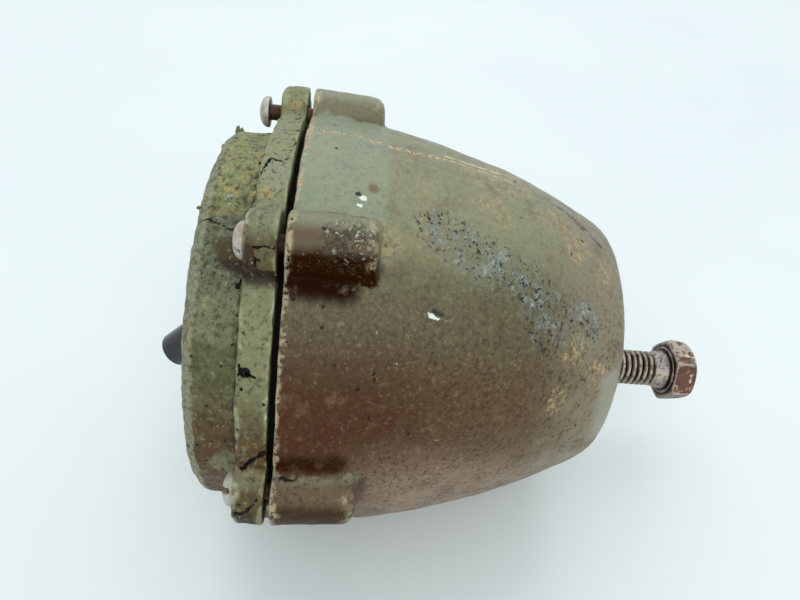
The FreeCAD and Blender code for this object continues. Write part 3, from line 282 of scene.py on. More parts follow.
def casing_enamel():
    f = Finish("casing_enamel", roughness=0.4)
    f.shader.inputs["Specular IOR Level"].default_value = 0.32
    ragged, jag = f.wander(7, 12), f.wander(2.2, 2.5)
    cloud, patch = f.noise(30, 5, 0.6), f.noise(8, 6, 0.68)
    grit, fleck = f.noise(1.2, 5, 0.74), f.noise(0.8, 3, 0.65)
    up, station = f.up(ragged), f.station(ragged)
    f.colour = tone(66, 30, 4)
    f.paint((70, 42, 14), f.ramp(cloud, 0.42, 0.62))
    f.paint((86, 66, 44), f.ramp(station, 18, 60))
    # Upper side painted lighter olive and lower side darker brown: the paint's own colours together with
    # painted light and shade.
    f.paint((84, 78, 52), f.ramp(up, -20, 8))
    f.paint((124, 124, 95), f.ramp(up, 4, 30))
    # Paler lower edge and paler back: painted sheen of floor and sky, with dust.
    f.paint((130, 110, 92), f.ramp(up, -26, -44), f.ramp(station, 10, 34))
    f.paint((124, 116, 94), f.ramp(station, 62, 88), 0.85)
    # Green band of paint near the joint, faded out towards the lower side that is painted as in shade.
    band = f.both(f.ramp(f.station(jag), 24, 22.5), f.ramp(up, 8, 24))
    f.paint((127, 133, 107), band)
    f.paint((112, 126, 112), band, f.ramp(patch, 0.48, 0.62), 0.35)
    off_band = f.outside(band)
    f.paint((86, 70, 48), f.ramp(patch, 0.5, 0.66), off_band, 0.4)
    f.paint((136, 126, 98), f.ramp(patch, 0.44, 0.3), off_band, 0.22)
    # Each casing lug gets a painted-light upper flank and a painted-shade lower flank.
    flank = shade_lug(f, 30, 23, (116, 117, 92), (84, 70, 46), (36, 14, 2), jag)
    shade_lug(f, 90, 23, (112, 106, 84), (90, 76, 54), (52, 30, 12), jag)
    shade_lug(f, -30, 23, (124, 125, 102), (106, 103, 78), (90, 80, 52), jag)
    clear = f.outside(f.both(f.ramp(up, -4, 22), 0.65))
    f.paint((48, 34, 18), f.ramp(grit, 0.52, 0.6), f.ramp(patch, 0.36, 0.5), clear, 0.7)
    f.paint((52, 40, 24), f.ramp(f.noise(2.6, 7, 0.8), 0.5, 0.66), clear, 0.5)
    speckle = f.both(f.ramp(grit, 0.44, 0.34), f.outside(f.both(band, 0.7)))
    f.paint((164, 150, 116), speckle, f.ramp(up, -130, 260))
    worn = f.either(*(f.spot(place(x, y, z), size, 0.8, ragged) for x, y, z, size in WORN_PLACES))
    bare = f.both(worn, f.ramp(f.noise(7, 8, 0.84), 0.46, 0.58))
    f.paint((120, 131, 122), bare, 0.7)
    f.paint((158, 167, 160), bare, f.ramp(f.noise(1.8, 5, 0.76), 0.52, 0.6), 0.75)
    specks = f.both(f.ramp(worn, 0.1, 0.6), f.ramp(f.noise(1.4, 5, 0.76), 0.57, 0.61))
    f.paint((38, 34, 28), specks)
    lug_worn = f.both(f.spot(place(37, 14, 61), 8.5, 0.7, jag), f.ramp(f.noise(1.5, 6, 0.78), 0.5, 0.56))
    f.paint((58, 54, 38), lug_worn, 0.8)
    f.paint((170, 178, 160), f.spot(place(34.5, 15, 63.2), 10, 0.7, jag),
            f.ramp(f.noise(1.3, 5, 0.7), 0.57, 0.62))
    ochre = f.either(*(f.spot(place(x, y, z), size, 0.85, ragged) for x, y, z, size in OCHRE_PLACES))
    scatter = f.both(f.ramp(up, 8, 26), f.ramp(station, 25, 36), f.ramp(cloud, 0.45, 0.6))
    ochre = f.either(ochre, f.both(scatter, 0.72))
    ochre = f.both(f.ramp(ochre, 0.15, 0.8), f.ramp(f.noise(1.7, 6, 0.78), 0.5, 0.58))
    f.paint((164, 142, 102), ochre, 0.8)
    f.paint((182, 138, 88), ochre, f.ramp(fleck, 0.56, 0.64))
    pale = f.streak(place(37, 92, 21), place(41, 93.5, 3), 6, ragged)
    f.paint((142, 140, 124), pale, 0.8)
    nick = f.either(f.streak(place(-6.5, 77, 48), place(0, 85, 45.4), 2.4, f.wander(1.4, 1.6)),
                    f.streak(place(1, 86.5, 44.4), place(4, 90, 42.6), 1.8, f.wander(1.4, 1.6)))
    f.paint((30, 26, 18), nick, f.ramp(f.noise(1.8, 5, 0.7), 0.44, 0.54))
    dust = f.both(f.ramp(fleck, 0.67, 0.73), f.ramp(f.noise(13, 4), 0.42, 0.58))
    f.paint((186, 172, 140), dust, off_band, 0.85)
    bend = f.attribute("bend")
    f.paint((46, 28, 12), f.ramp(bend, 0.1, 0.5), f.ramp(f.noise(5, 6), 0.35, 0.6), 0.7)
    # Painted shadow with grime below the lugs, darkest on the lower side.
    streaks = []
    for angle, end, width in SHADE_AND_GRIME_STREAKS:
        x, z = lug_centre(angle, SHADE_AND_GRIME_R)
        streaks.append(f.streak(place(x, -2, z), place(x, end, z), width, jag))
    shadow = f.both(f.either(*streaks), f.ramp(f.noise(5, 7, 0.74), 0.3, 0.5))
    f.paint((26, 8, 1), shadow, f.ramp(up, -38, -20))
    f.paint((36, 18, 8), shadow, 0.7)
    # Pale convex edges: rubbed paint and painted highlight.
    rubbed_and_highlit = f.both(f.ramp(bend, -0.35, -0.7), f.ramp(f.noise(2.2, 6, 0.72), 0.45, 0.56))
    f.paint((168, 156, 124), rubbed_and_highlit, 0.8)
    shoulder = f.both(f.spot(place(29, 22.5, 57.5), 8, 0.6, jag), f.ramp(f.noise(2, 6, 0.75), 0.46, 0.56))
    f.paint((164, 150, 108), shoulder, 0.6)
    edge = f.both(f.ramp(f.station(f.wander(1.2, 1.6)), 0.9, 0.35),
                  f.ramp(f.noise(2.6, 5, 0.7), 0.42, 0.5))
    f.paint((172, 162, 134), edge, 0.7)
    primer = f.streak(place(-10, 0.6, 64.9), place(-4, 0.3, 65), 2.2, f.wander(2.4, 1.6))
    flecks = (f.spot(place(x, y, z), size, 0.5, f.wander(1.8, 1.2)) for x, y, z, size in PRIMER_PLACES)
    primer = f.either(primer, *flecks)
    f.paint((186, 150, 108), primer, f.ramp(f.noise(1.2, 5, 0.7), 0.44, 0.56))
    scratch = f.crack([place(*p) for p in SCRATCH], 1.5, jag)
    scratch = f.both(scratch, f.ramp(f.noise(0.8, 5, 0.75), 0.48, 0.56))
    f.paint((202, 182, 138), scratch)
    line = f.streak(place(-10.3, 40, 60), place(-12.5, 58, 54.6), 0.55, f.wander(0.8, 4))
    f.paint((214, 196, 150), line, f.ramp(f.noise(2.5, 4), 0.4, 0.5))
    f.paint((96, 76, 44), f.spot(place(14.5, 19.4, 62.5), 2.2, 0.6, jag), 0.8)
    torn = f.wander(1.7, 1.1)
    dark = f.either(f.streak(place(40.8, 36.6, 46.3), place(41.3, 38.7, 45.4), 0.9, torn),
                    f.spot(place(17.3, 15.6, 62.1), 1.0, 0.5, torn))
    f.paint((34, 27, 20), dark)
    white = f.either(f.streak(place(41.5, 35.3, 45.7), place(41.9, 37.6, 44.7), 0.66, torn),
                     f.spot(place(18.3, 17.0, 61.8), 1.1, 0.5, torn),
                     f.spot(place(20.7, 16.3, 61.2), 0.7, 0.6, torn))
    f.paint((206, 212, 204), f.ramp(white, 0.15, 0.5))
    pits = f.both(f.ramp(f.cells(5, here=jag), 0.12, 0.07), f.ramp(f.noise(14, 3), 0.5, 0.58))
    f.paint((24, 19, 14), pits)
    f.paint((20, 15, 10), f.ramp(f.attribute("crack"), 0.3, 0.75))
    f.raise_by(f.noise(6, 6, 0.6), 0.35)
    f.raise_by(grit, 0.16)
    f.raise_by(f.noise(0.4, 3, 0.6), 0.03)
    f.raise_by(pits, -0.3)
    f.raise_by(bare, -0.1)
    f.raise_by(specks, -0.25)
    f.raise_by(lug_worn, -0.2)
    f.raise_by(scratch, -0.08)
    f.vary("Roughness", patch, 0.28, 0.55)
    brown = f.ramp(up, 4, -16)
    f.vary("Specular IOR Level", f.either(shadow, flank, f.both(brown, 0.5)), 0.32, 0.0)
    return f.done()


def bezel_enamel():
    f = Finish("bezel_enamel", roughness=0.48)
    f.shader.inputs["Specular IOR Level"].default_value = 0.22
    ragged, fine = f.wander(6, 8), f.wander(1.6, 3)
    cloud, patch = f.noise(17, 5, 0.62), f.noise(5, 6, 0.7)
    grit = f.noise(1.5, 5, 0.72)
    up, station = f.up(ragged), f.station(fine)
    flange = f.ramp(station, -10.8, -9.8)
    f.colour = tone(84, 86, 54)
    f.paint((104, 104, 76), f.ramp(cloud, 0.42, 0.58))
    f.paint((72, 70, 42), f.ramp(patch, 0.48, 0.6), 0.7)
    # Lower side painted brown and darker, upper side and upper flange painted lighter: the paint's own
    # colours with painted light and shade.
    low = f.ramp(up, -14, -36)
    f.paint((80, 54, 20), low, f.ramp(patch, 0.3, 0.5))
    f.paint((56, 40, 20), low, f.ramp(f.noise(2.6, 6, 0.74), 0.52, 0.6))
    f.paint((134, 138, 96), f.ramp(up, 20, 42), 0.85)
    f.paint((126, 126, 92), flange, f.ramp(up, -34, -8), 0.75)
    f.paint((128, 132, 102), flange, f.ramp(up, 4, 18), 0.5)
    moss = f.either(f.spot(place(5, -16, 58), 21, 0.6, ragged),
                    f.spot(place(-14, -16, 56), 18, 0.6, ragged))
    moss = f.both(moss, f.outside(flange))
    f.paint((112, 120, 74), moss, 0.6)
    f.paint((148, 136, 84), moss, f.ramp(f.noise(3.4, 7, 0.76), 0.5, 0.58))
    f.paint((60, 66, 38), moss, f.ramp(f.noise(2.2, 6, 0.74), 0.55, 0.61))
    f.paint((186, 176, 116), moss, f.ramp(f.noise(1.4, 5, 0.7), 0.62, 0.67))
    grey = f.both(f.spot(place(31, -16, 49.5), 12.5, 0.16, fine), f.outside(flange))
    f.paint((94, 98, 76), grey)
    f.paint((50, 54, 38), grey, f.ramp(f.noise(1.6, 4, 0.66), 0.56, 0.62))
    f.paint((112, 118, 86), f.spot(place(42, -15, 39), 8, 0.3, fine), 0.6)
    f.paint((128, 132, 106), f.spot(place(14, -5, 63.5), 5.2, 0.2, fine), flange, 0.9)
    rust = f.both(f.ramp(f.noise(2.4, 7, 0.78), 0.6, 0.65), f.ramp(cloud, 0.42, 0.56))
    f.paint((168, 140, 84), rust, 0.8)
    broken = f.ramp(f.noise(1.1, 5, 0.72), 0.42, 0.54)
    for x, ahead, z, size, colour in ((-26.6, -5, 62.5, 2.4, (200, 152, 92)),
                                      (20, -6.6, 62, 2.4, (172, 142, 88)),
                                      (15.5, -16.9, 56.1, 1.8, (146, 160, 148)),
                                      (19.1, -20.1, 54.7, 1.2, (120, 70, 56)),
                                      (60, -15, -8, 3.0, (122, 84, 66))):
        f.paint(colour, f.spot(place(x, ahead, z), size, 0.7, f.wander(1.8, 1.4)), broken)
    # Bezel lugs: upper flank painted lighter as painted light, lower flank darker and nearly black at the
    # bottom as painted shade.
    for angle, top, low in ((30, (110, 112, 86), (66, 54, 30)),
                            (90, (112, 108, 80), (78, 66, 36)),
                            (-30, (116, 122, 84), (112, 114, 76))):
        x, z = lug_centre(angle)
        height = UPWARDS.dot((x, 0, z))
        on_lug = f.ramp(f.streak(place(x, -12, z), place(x, 0, z), 11, fine), 0.05, 0.3)
        f.paint(top, on_lug, f.ramp(up, height, height + 5))
        f.paint(low, on_lug, f.ramp(up, height + 4, height - 1.5))
        f.paint((38, 20, 6), on_lug, f.ramp(up, height - 3.2, height - 5.4))
    peel = f.both(f.spot(place(41, -4.2, 57.6), 3.5, 0.1, f.wander(0.9, 2)), 0.9)
    f.paint((90, 84, 52), peel)
    wedge = f.streak(place(40, -7.7, 60), place(40.6, -6.6, 55), 1.6, f.wander(0.9, 2))
    f.paint((54, 34, 16), wedge, 0.9)
    # Dark streaks below two bezel lugs at the joint: painted shadow with grime.
    for x, z in ((40.5, 51.8), (66, -9)):
        f.paint((30, 20, 8), f.streak(place(x, -9, z), place(x, -1, z), 2.8, fine), 0.9)
    rim = f.ramp(f.station(f.wander(2.4, 3)), -20.9, -21.6)
    f.paint((130, 132, 112), rim, 0.75)
    f.paint((98, 94, 64), rim, f.ramp(f.noise(2.4, 6, 0.74), 0.52, 0.58))
    f.paint((150, 132, 84), rim, f.ramp(f.noise(3, 6, 0.7), 0.55, 0.61))
    f.paint((46, 44, 26), f.ramp(grit, 0.53, 0.61), 0.6)
    mottled = f.both(f.ramp(f.noise(3, 7, 0.8), 0.5, 0.64), f.maths("SUBTRACT", 0.6, f.both(flange, 0.4)))
    f.paint((62, 58, 34), mottled)
    f.paint((160, 160, 122), f.ramp(grit, 0.43, 0.33), 0.4)
    bend = f.attribute("bend")
    f.paint((40, 32, 18), f.ramp(bend, 0.08, 0.4), f.ramp(f.noise(4, 5), 0.34, 0.52))
    # Pale convex edges: rubbed paint and painted highlight.
    rubbed_and_highlit = f.both(f.ramp(bend, -0.3, -0.55), f.ramp(f.noise(5, 5, 0.66), 0.36, 0.5))
    f.paint((150, 158, 120), rubbed_and_highlit, 0.45)
    # Pale green line along the flange's front edge on the lower side: painted highlight.
    lip_highlight = f.both(f.ramp(bend, -0.2, -0.5), flange, f.ramp(up, 12, 4))
    lip_highlight = f.both(lip_highlight, f.ramp(f.station(fine), -7.4, -8.4))
    f.paint((144, 158, 118), lip_highlight, f.ramp(f.noise(4, 5), 0.3, 0.9))
    # Palest on the sharpest edges: painted highlight with rubbed paint.
    f.paint((172, 174, 152), f.ramp(bend, -0.45, -0.75), f.ramp(f.noise(6, 4), 0.52, 0.6))
    pits = f.both(f.ramp(f.cells(3.8, here=fine), 0.14, 0.08), f.ramp(f.noise(9, 3), 0.5, 0.57))
    f.paint((22, 19, 11), pits)
    f.paint((6, 5, 4), f.ramp(f.attribute("crack"), 0.18, 0.5))
    f.raise_by(patch, 0.5)
    f.raise_by(grit, 0.3)
    f.raise_by(f.noise(0.35, 3, 0.6), 0.03)
    f.raise_by(pits, -0.3)
    f.vary("Roughness", patch, 0.34, 0.66)
    return f.done()


def rusty_bolt():
    f = Finish("rusty_bolt", roughness=0.36, metallic=0.7)
    behind = f.station(f.wander(2, 4))
    head = f.ramp(behind, 133.6, 134.6)
    neck = f.both(f.ramp(behind, 128.5, 130), f.ramp(behind, 135, 134))
    f.colour = tone(168, 158, 142)
    f.paint((104, 82, 60), f.ramp(f.noise(2.2, 6, 0.7), 0.48, 0.56), 0.85)
    f.paint((158, 160, 166), neck, f.ramp(f.noise(3, 5, 0.7), 0.5, 0.56))
    f.paint((176, 164, 148), head, f.ramp(f.noise(5, 5, 0.6), 0.5, 0.4))
    rust = f.either(f.both(head, f.ramp(f.noise(5.5, 6, 0.66), 0.34, 0.42)),
                    f.both(f.ramp(f.noise(3, 6, 0.7), 0.56, 0.62), 0.85))
    f.paint((92, 50, 32), rust)
    f.paint((178, 128, 92), rust, f.ramp(f.noise(2.6, 6, 0.75), 0.56, 0.62))
    f.paint((60, 28, 14), head, 0.9, f.ramp(f.noise(3.0, 6, 0.72), 0.5, 0.43))
    f.paint((206, 194, 172), head, f.ramp(f.noise(4.2, 6, 0.7), 0.57, 0.63))
    # Upper side of the head painted paler: painted light.
    upper = f.both(head, f.ramp(f.up(f.here), -7, -3), f.ramp(f.noise(2, 5), 0.44, 0.54))
    f.paint((180, 172, 156), upper, 0.75)
    # Hollows and thread roots painted near-black: painted shade.
    f.paint((18, 11, 8), f.ramp(f.attribute("bend"), 0.15, 0.7))
    across = f.node("VectorMath", f.here, (1.0, 0.0, 1.0), operation="MULTIPLY").outputs["Vector"]
    radius = f.node("VectorMath", across, (0.0, 0.0, BOLT_Z * MM), operation="DISTANCE").outputs["Value"]
    f.paint((16, 10, 7), f.ramp(radius, 5.95 * MM, 5.3 * MM), f.ramp(behind, 132, 131))
    f.paint((214, 204, 190), f.ramp(f.attribute("bend"), -0.5, -1.2), 0.4)
    f.raise_by(f.noise(1.4, 7, 0.72), 0.3)
    f.vary("Roughness", f.noise(3, 4), 0.22, 0.6)
    f.vary("Metallic", head, 0.7, 0.15)
    return f.done()


def screw_heads():
    f = Finish("screw_heads", roughness=0.34, metallic=0.3)
    f.colour = tone(172, 168, 156)
    f.paint((150, 130, 110), f.ramp(f.noise(3, 6, 0.7), 0.5, 0.6), 0.8)
    f.paint((118, 84, 66), f.ramp(f.noise(1.8, 7, 0.74), 0.58, 0.66), 0.7)
    shank = f.ramp(f.station(f.here), -10.0, -9.0)
    loose = f.spot(place(-32.5, -11.5, 56.3), 4.2, 0.1)
    near_shank = f.either(shank, f.both(loose, f.ramp(f.station(f.here), -13.8, -13.2)))
    f.paint((126, 92, 80), near_shank)
    f.paint((50, 20, 12), f.ramp(f.attribute("bend"), 0.5, 1.6), 0.8)
    f.raise_by(f.noise(1.2, 6, 0.7), 0.14)
    f.vary("Roughness", f.noise(2, 4), 0.25, 0.6)
    return f.done()


def plain(name, colour, darker, roughness=0.4, metallic=0.0, size=6.0, relief=0.02):
    """Finish with cloudy colour, fine relief and uneven gloss."""
    f = Finish(name, roughness, metallic)
    f.colour = tone(*colour)
    f.paint(darker, f.ramp(f.noise(size, 5, 0.6), 0.4, 0.68))
    f.raise_by(f.noise(size * 0.2, 4, 0.6), relief)
    f.vary("Roughness", f.noise(size * 0.5, 4), roughness * 0.75, min(1.0, roughness * 1.35))
    return f


def black_grip():
    f = plain("black_grip", (6, 9, 14), (16, 20, 25), 0.2, 0.0, 8.0, 0.012)
    scuffs = f.both(f.ramp(f.noise(2, 6, 0.7), 0.64, 0.68), 0.5)
    f.paint((92, 100, 108), scuffs)
    f.shader.inputs["Coat Weight"].default_value = 0.15
    f.shader.inputs["Coat Roughness"].default_value = 0.1
    return f.done()


def clear_glass():
    f = Finish("clear_glass", roughness=0.03)
    f.colour = tone(236, 244, 240)
    f.shader.inputs["Transmission Weight"].default_value = 1.0
    f.shader.inputs["IOR"].default_value = 1.5
    f.raise_by(f.noise(30, 2), 0.02)
    f.vary("Roughness", f.ramp(f.noise(9, 5), 0.5, 0.8), 0.02, 0.2)
    return f.done()


def dial_enamel():
    """Cream dial with an arc of divisions, one for each order, and no lettering."""
    f = Finish("dial_enamel", roughness=0.35)
    f.colour = tone(224, 219, 198)
    f.paint((206, 198, 172), f.ramp(f.noise(20, 5), 0.45, 0.7))
    parts = f.node("SeparateXYZ", f.here)
    x, z = parts.outputs["X"], parts.outputs["Z"]
    turn = f.maths("ARCTAN2", x, f.maths("MULTIPLY", z, -1.0))
    radius = f.maths("SQRT", f.maths("ADD", f.both(x, x), f.both(z, z)))

    def ring(inner, outer):
        return f.both(f.ramp(radius, inner * MM, (inner + 0.15) * MM),
                      f.ramp(radius, outer * MM, (outer - 0.15) * MM))

    def divisions(step, half_width):
        """Radial bars every step degrees, half_width in degrees."""
        turns = f.maths("DIVIDE", turn, math.radians(step))
        off = f.maths("ABSOLUTE", f.maths("SUBTRACT", turns, f.maths("ROUND", turns)))
        return f.ramp(off, half_width / step, half_width / step * 0.7)

    sector = f.ramp(f.maths("ABSOLUTE", turn), math.radians(138), math.radians(137))
    shifted = f.maths("DIVIDE", f.maths("ADD", turn, math.radians(15)), math.radians(30))
    off = f.maths("ABSOLUTE", f.maths("SUBTRACT", shifted, f.maths("ROUND", shifted)))
    borders = f.ramp(off, 0.02, 0.013)
    ahead = f.both(ring(24, 37), f.ramp(turn, math.radians(15), math.radians(15.5)), sector)
    astern = f.both(ring(24, 37), f.ramp(turn, math.radians(-15), math.radians(-15.5)), sector)
    f.paint((40, 86, 60), ahead, 0.9)
    f.paint((142, 40, 32), astern, 0.9)
    lines = f.either(f.both(ring(22, 38), borders, sector), ring(37.6, 38.2), ring(21.6, 22.2),
                     f.both(ring(38, 40.5), divisions(10, 0.5), sector))
    f.paint((22, 22, 22), lines)
    f.raise_by(f.noise(2, 4), 0.01)
    f.vary("Roughness", f.noise(12, 4), 0.25, 0.5)
    return f.done()


def paint_nodes():
    """Finishes of the CAD nodes that stay as they are."""
    brass = plain("old_brass", (150, 124, 74), (104, 82, 46), 0.36, 0.9).done()
    bronze = plain("bearing_bronze", (140, 104, 66), (104, 74, 44), 0.34, 0.9).done()
    steel = plain("turned_steel", (150, 150, 150), (112, 110, 106), 0.3, 0.9).done()
    sheet = plain("sheet_aluminium", (176, 178, 178), (140, 142, 142), 0.42, 0.8, 9.0).done()
    cast = plain("turned_aluminium", (150, 152, 154), (112, 114, 116), 0.4, 0.8).done()
    stack = plain("stator_sheets", (70, 66, 62), (48, 44, 40), 0.5, 0.7, 3.0).done()
    rubber = plain("old_rubber", (6, 6, 6), (14, 13, 12), 0.85, 0.0, 4.0, 0.06)
    rubber.shader.inputs["Specular IOR Level"].default_value = 0.1
    rubber = rubber.done()
    felt = plain("greased_felt", (112, 100, 78), (74, 64, 46), 0.9, 0.0, 2.0, 0.1).done()
    brown = plain("phenolic", (70, 42, 26), (44, 26, 16), 0.4, 0.0, 5.0).done()
    wire = plain("wire_cover", (122, 40, 32), (90, 26, 22), 0.5, 0.0, 5.0).done()
    red = plain("red_enamel", (158, 34, 26), (122, 24, 20), 0.35, 0.0, 7.0).done()
    black = plain("black_enamel", (22, 22, 23), (36, 35, 34), 0.3, 0.0, 7.0).done()
    lamp = plain("frosted_lamp", (232, 222, 190), (206, 194, 158), 0.4, 0.0, 7.0).done()
    glass, dial = clear_glass(), dial_enamel()
    chosen = {
        "brass": brass, "bronze": bronze, "steel": steel, "chassis_plate": sheet,
        "synchro_case": cast, "laminations": stack, "gasket_rubber": rubber, "felt": felt,
        "brown_moulding": brown, "wire_insulation": wire, "order_red": red,
        "reply_black": black, "hub_enamel": black, "lamp_glass": lamp,
        "window_glass": glass, "dial_enamel": dial,
    }
    for part in frame["record"]["subparts"]:
        finish = chosen.get(part["material_slot"])
        if finish:
            for slot in NODES[part["node"]].material_slots:
                slot.material = finish


# --- meshes -------------------------------------------------------------------------------
def add(name, data):
    """New object in the scene."""
    made = bpy.data.objects.new(name, data)
    bpy.context.scene.collection.objects.link(made)
    return made


def mesh_from(name, work):
    """Mesh data of a finished bmesh, its faces turned outwards."""
    bmesh.ops.recalc_face_normals(work, faces=work.faces)
    data = bpy.data.meshes.new(name)
    work.to_mesh(data)
    work.free()
    return data


def applied(piece):
    """Mesh data of a piece with its modifiers carried out."""
    graph = bpy.context.evaluated_depsgraph_get()
    return bpy.data.meshes.new_from_object(piece.evaluated_get(graph))


def points_of(mesh, layer="vertices", name="co", width=3):
    values = np.empty(len(getattr(mesh, layer)) * width, np.float32)
    getattr(mesh, layer).foreach_get(name, values)
    return values.reshape(-1, width).astype(float)


def links_of(mesh):
    ends = np.empty(len(mesh.edges) * 2, np.int32)
    mesh.edges.foreach_get("vertices", ends)
    return ends.reshape(-1, 2)


def normals_of(mesh):
    values = np.empty(len(mesh.vertices) * 3, np.float32)
    mesh.vertex_normals.foreach_get("vector", values)
    return values.reshape(-1, 3).astype(float)


def averaged(values, links, count):
    """Each point's mean over its neighbours."""
    a, b = links[:, 0], links[:, 1]
    degree = np.bincount(a, minlength=count) + np.bincount(b, minlength=count)
    total = np.empty_like(values)
    for k in range(values.shape[1]):
        total[:, k] = (np.bincount(a, values[b, k], count) + np.bincount(b, values[a, k], count))
    return total / np.maximum(degree, 1)[:, None]


def voxel_copy(node, voxel):
    """New object with an even mesh over a CAD node's surface."""
    copy = add(node + "_even", NODES[node].data.copy())
    work = bmesh.new()
    work.from_mesh(copy.data)
    bmesh.ops.remove_doubles(work, verts=work.verts, dist=1e-6)
    work.to_mesh(copy.data)
    work.free()
    remesh = copy.modifiers.new("even", "REMESH")
    remesh.mode = "VOXEL"
    remesh.voxel_size = voxel * MM
    mesh = applied(copy)
    bpy.data.objects.remove(copy)
    return add(node + "_worn", mesh)


def record_bend(piece, passes, scale):
    """Attribute bend: positive in hollows and negative on edges, in units of scale millimetres."""
    mesh = piece.data
    links, co = links_of(mesh), points_of(mesh)
    blurred = co
    for _ in range(passes):
        blurred = averaged(blurred, links, len(co))
    bend = ((blurred - co) * normals_of(mesh)).sum(1) / (scale * MM)
    layer = mesh.attributes.new("bend", "FLOAT", "POINT")
    layer.data.foreach_set("value", bend.astype(np.float32))


def wear(piece, shares, passes, lumps):
    """Fills inner corners, rounds outer ones and adds lumps.

    shares gives each point's share of filling and of rounding. lumps are (size, height, seed)
    in millimetres.
    """
    mesh = piece.data
    links, count = links_of(mesh), len(mesh.vertices)
    co, normal = points_of(mesh), normals_of(mesh)
    fill, rounding = shares(co)
    for _ in range(passes):
        shift = ((averaged(co, links, count) - co) * normal).sum(1)
        co += normal * (np.maximum(shift, 0) * fill + np.minimum(shift, 0) * rounding)[:, None]
    for size, height, seed in lumps:
        offset = Vector((seed, seed * 2.3, seed * 3.7))
        bumps = [noise.noise(Vector(p) / (size * MM) + offset) for p in co]
        co += normal * (np.array(bumps) * height * MM)[:, None]
    mesh.vertices.foreach_set("co", co.astype(np.float32).ravel())
    mesh.update()


def distance_to_chain(point, chain):
    best = 1e9
    for start, end in zip(chain, chain[1:]):
        along = end - start
        share = max(0.0, min(1.0, (point - start).dot(along) / along.length_squared))
        best = min(best, (point - start - along * share).length)
    return best


def near_chain(verts, chain, reach):
    """The verts in a box round a chain of points, with reach metres to spare."""
    low = [min(p[k] for p in chain) - reach for k in range(3)]
    high = [max(p[k] for p in chain) + reach for k in range(3)]
    return [v for v in verts if all(low[k] < v.co[k] < high[k] for k in range(3))]


def cut_cracks(piece, cracks):
    """Open cracks in the paint: each is (points, width, depth) in millimetres."""
    work = bmesh.new()
    work.from_mesh(piece.data)
    work.normal_update()
    chains = [([place(*p) for p in points], width, depth) for points, width, depth in cracks]
    for chain, width, depth in chains:
        reach = (width + 1.2) * MM
        close = {v for v in near_chain(work.verts, chain, reach)
                 if distance_to_chain(v.co, chain) < reach}
        edges = [e for e in work.edges if e.verts[0] in close and e.verts[1] in close]
        bmesh.ops.subdivide_edges(work, edges=edges, cuts=2, use_grid_fill=True)
    layer = work.verts.layers.float.new("crack")
    work.normal_update()
    moves = []
    for chain, width, depth in chains:
        for v in near_chain(work.verts, chain, (width + 1.0) * MM):
            jag = Vector(noise.noise_vector(v.co / (1.3 * MM))) * 0.7 * MM
            far = distance_to_chain(v.co + jag, chain) / (width * 0.5 * MM)
            share = max(0.0, min(1.0, 1.6 - far))
            if share:
                v[layer] = max(v[layer], share)
                moves.append((v, v.normal.copy(), share * depth * MM))
    for v, normal, amount in moves:
        v.co -= normal * amount
    work.to_mesh(piece.data)
    work.free()


def thin_out(piece, most):
    """Collapses the mesh to about the given number of triangles."""
    faces = sum(len(p.vertices) - 2 for p in piece.data.polygons)
    if faces > most:
        thinner = piece.modifiers.new("thin", "DECIMATE")
        thinner.ratio = most / faces
        mesh = applied(piece)
        piece.modifiers.clear()
        piece.data = mesh


def finish_piece(piece, material, node, body):
    """Lets a worn piece stand in for a CAD node, kept inside that node's box."""
    low, high = (np.array(corner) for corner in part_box(node))
    inside = np.clip(points_of(piece.data), low + 1e-6, high - 1e-6)
    piece.data.vertices.foreach_set("co", inside.astype(np.float32).ravel())
    for polygon in piece.data.polygons:
        polygon.use_smooth = True
    piece.data.materials.clear()
    piece.data.materials.append(material)
    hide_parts(node)
    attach(piece, body)


def lug_distance(co):
    """Distance of each point from the nearest lug's own centre line, in millimetres."""
    best = np.full(len(co), 1e9)
    for angle in LUG_ANGLES:
        x, z = lug_centre(angle)
        best = np.minimum(best, np.hypot(co[:, 0] / MM - x, co[:, 2] / MM - z))
    return best


def make_casing():
    piece = voxel_copy("casing", CASING_VOXEL)

    def shares(co):
        lug = lug_distance(co)
        radial = np.hypot(co[:, 0], co[:, 2]) / MM
        station = (co[:, 1] - JOINT_Y) / MM
        outside = radial > 60.5 - np.maximum(station - 5, 0) * 0.16
        near = (lug > LUG_R - 2.5) & (lug < LUG_R + 9) & (station > 0.8) & (station < 32)
        fill = np.where(outside & near, 1.0, 0.02)
        rounding = np.where(station < 2, 0.02, np.where(outside & (station < 26), 0.12, 0.01))
        return fill, rounding

    wear(piece, shares, CASING_PASSES, CASING_LUMPS)
    thin_out(piece, CASING_TRIANGLES)
    cut_cracks(piece, CASING_CRACKS)
    record_bend(piece, passes=14, scale=1.0)
    finish_piece(piece, casing_enamel(), "casing", "casing")


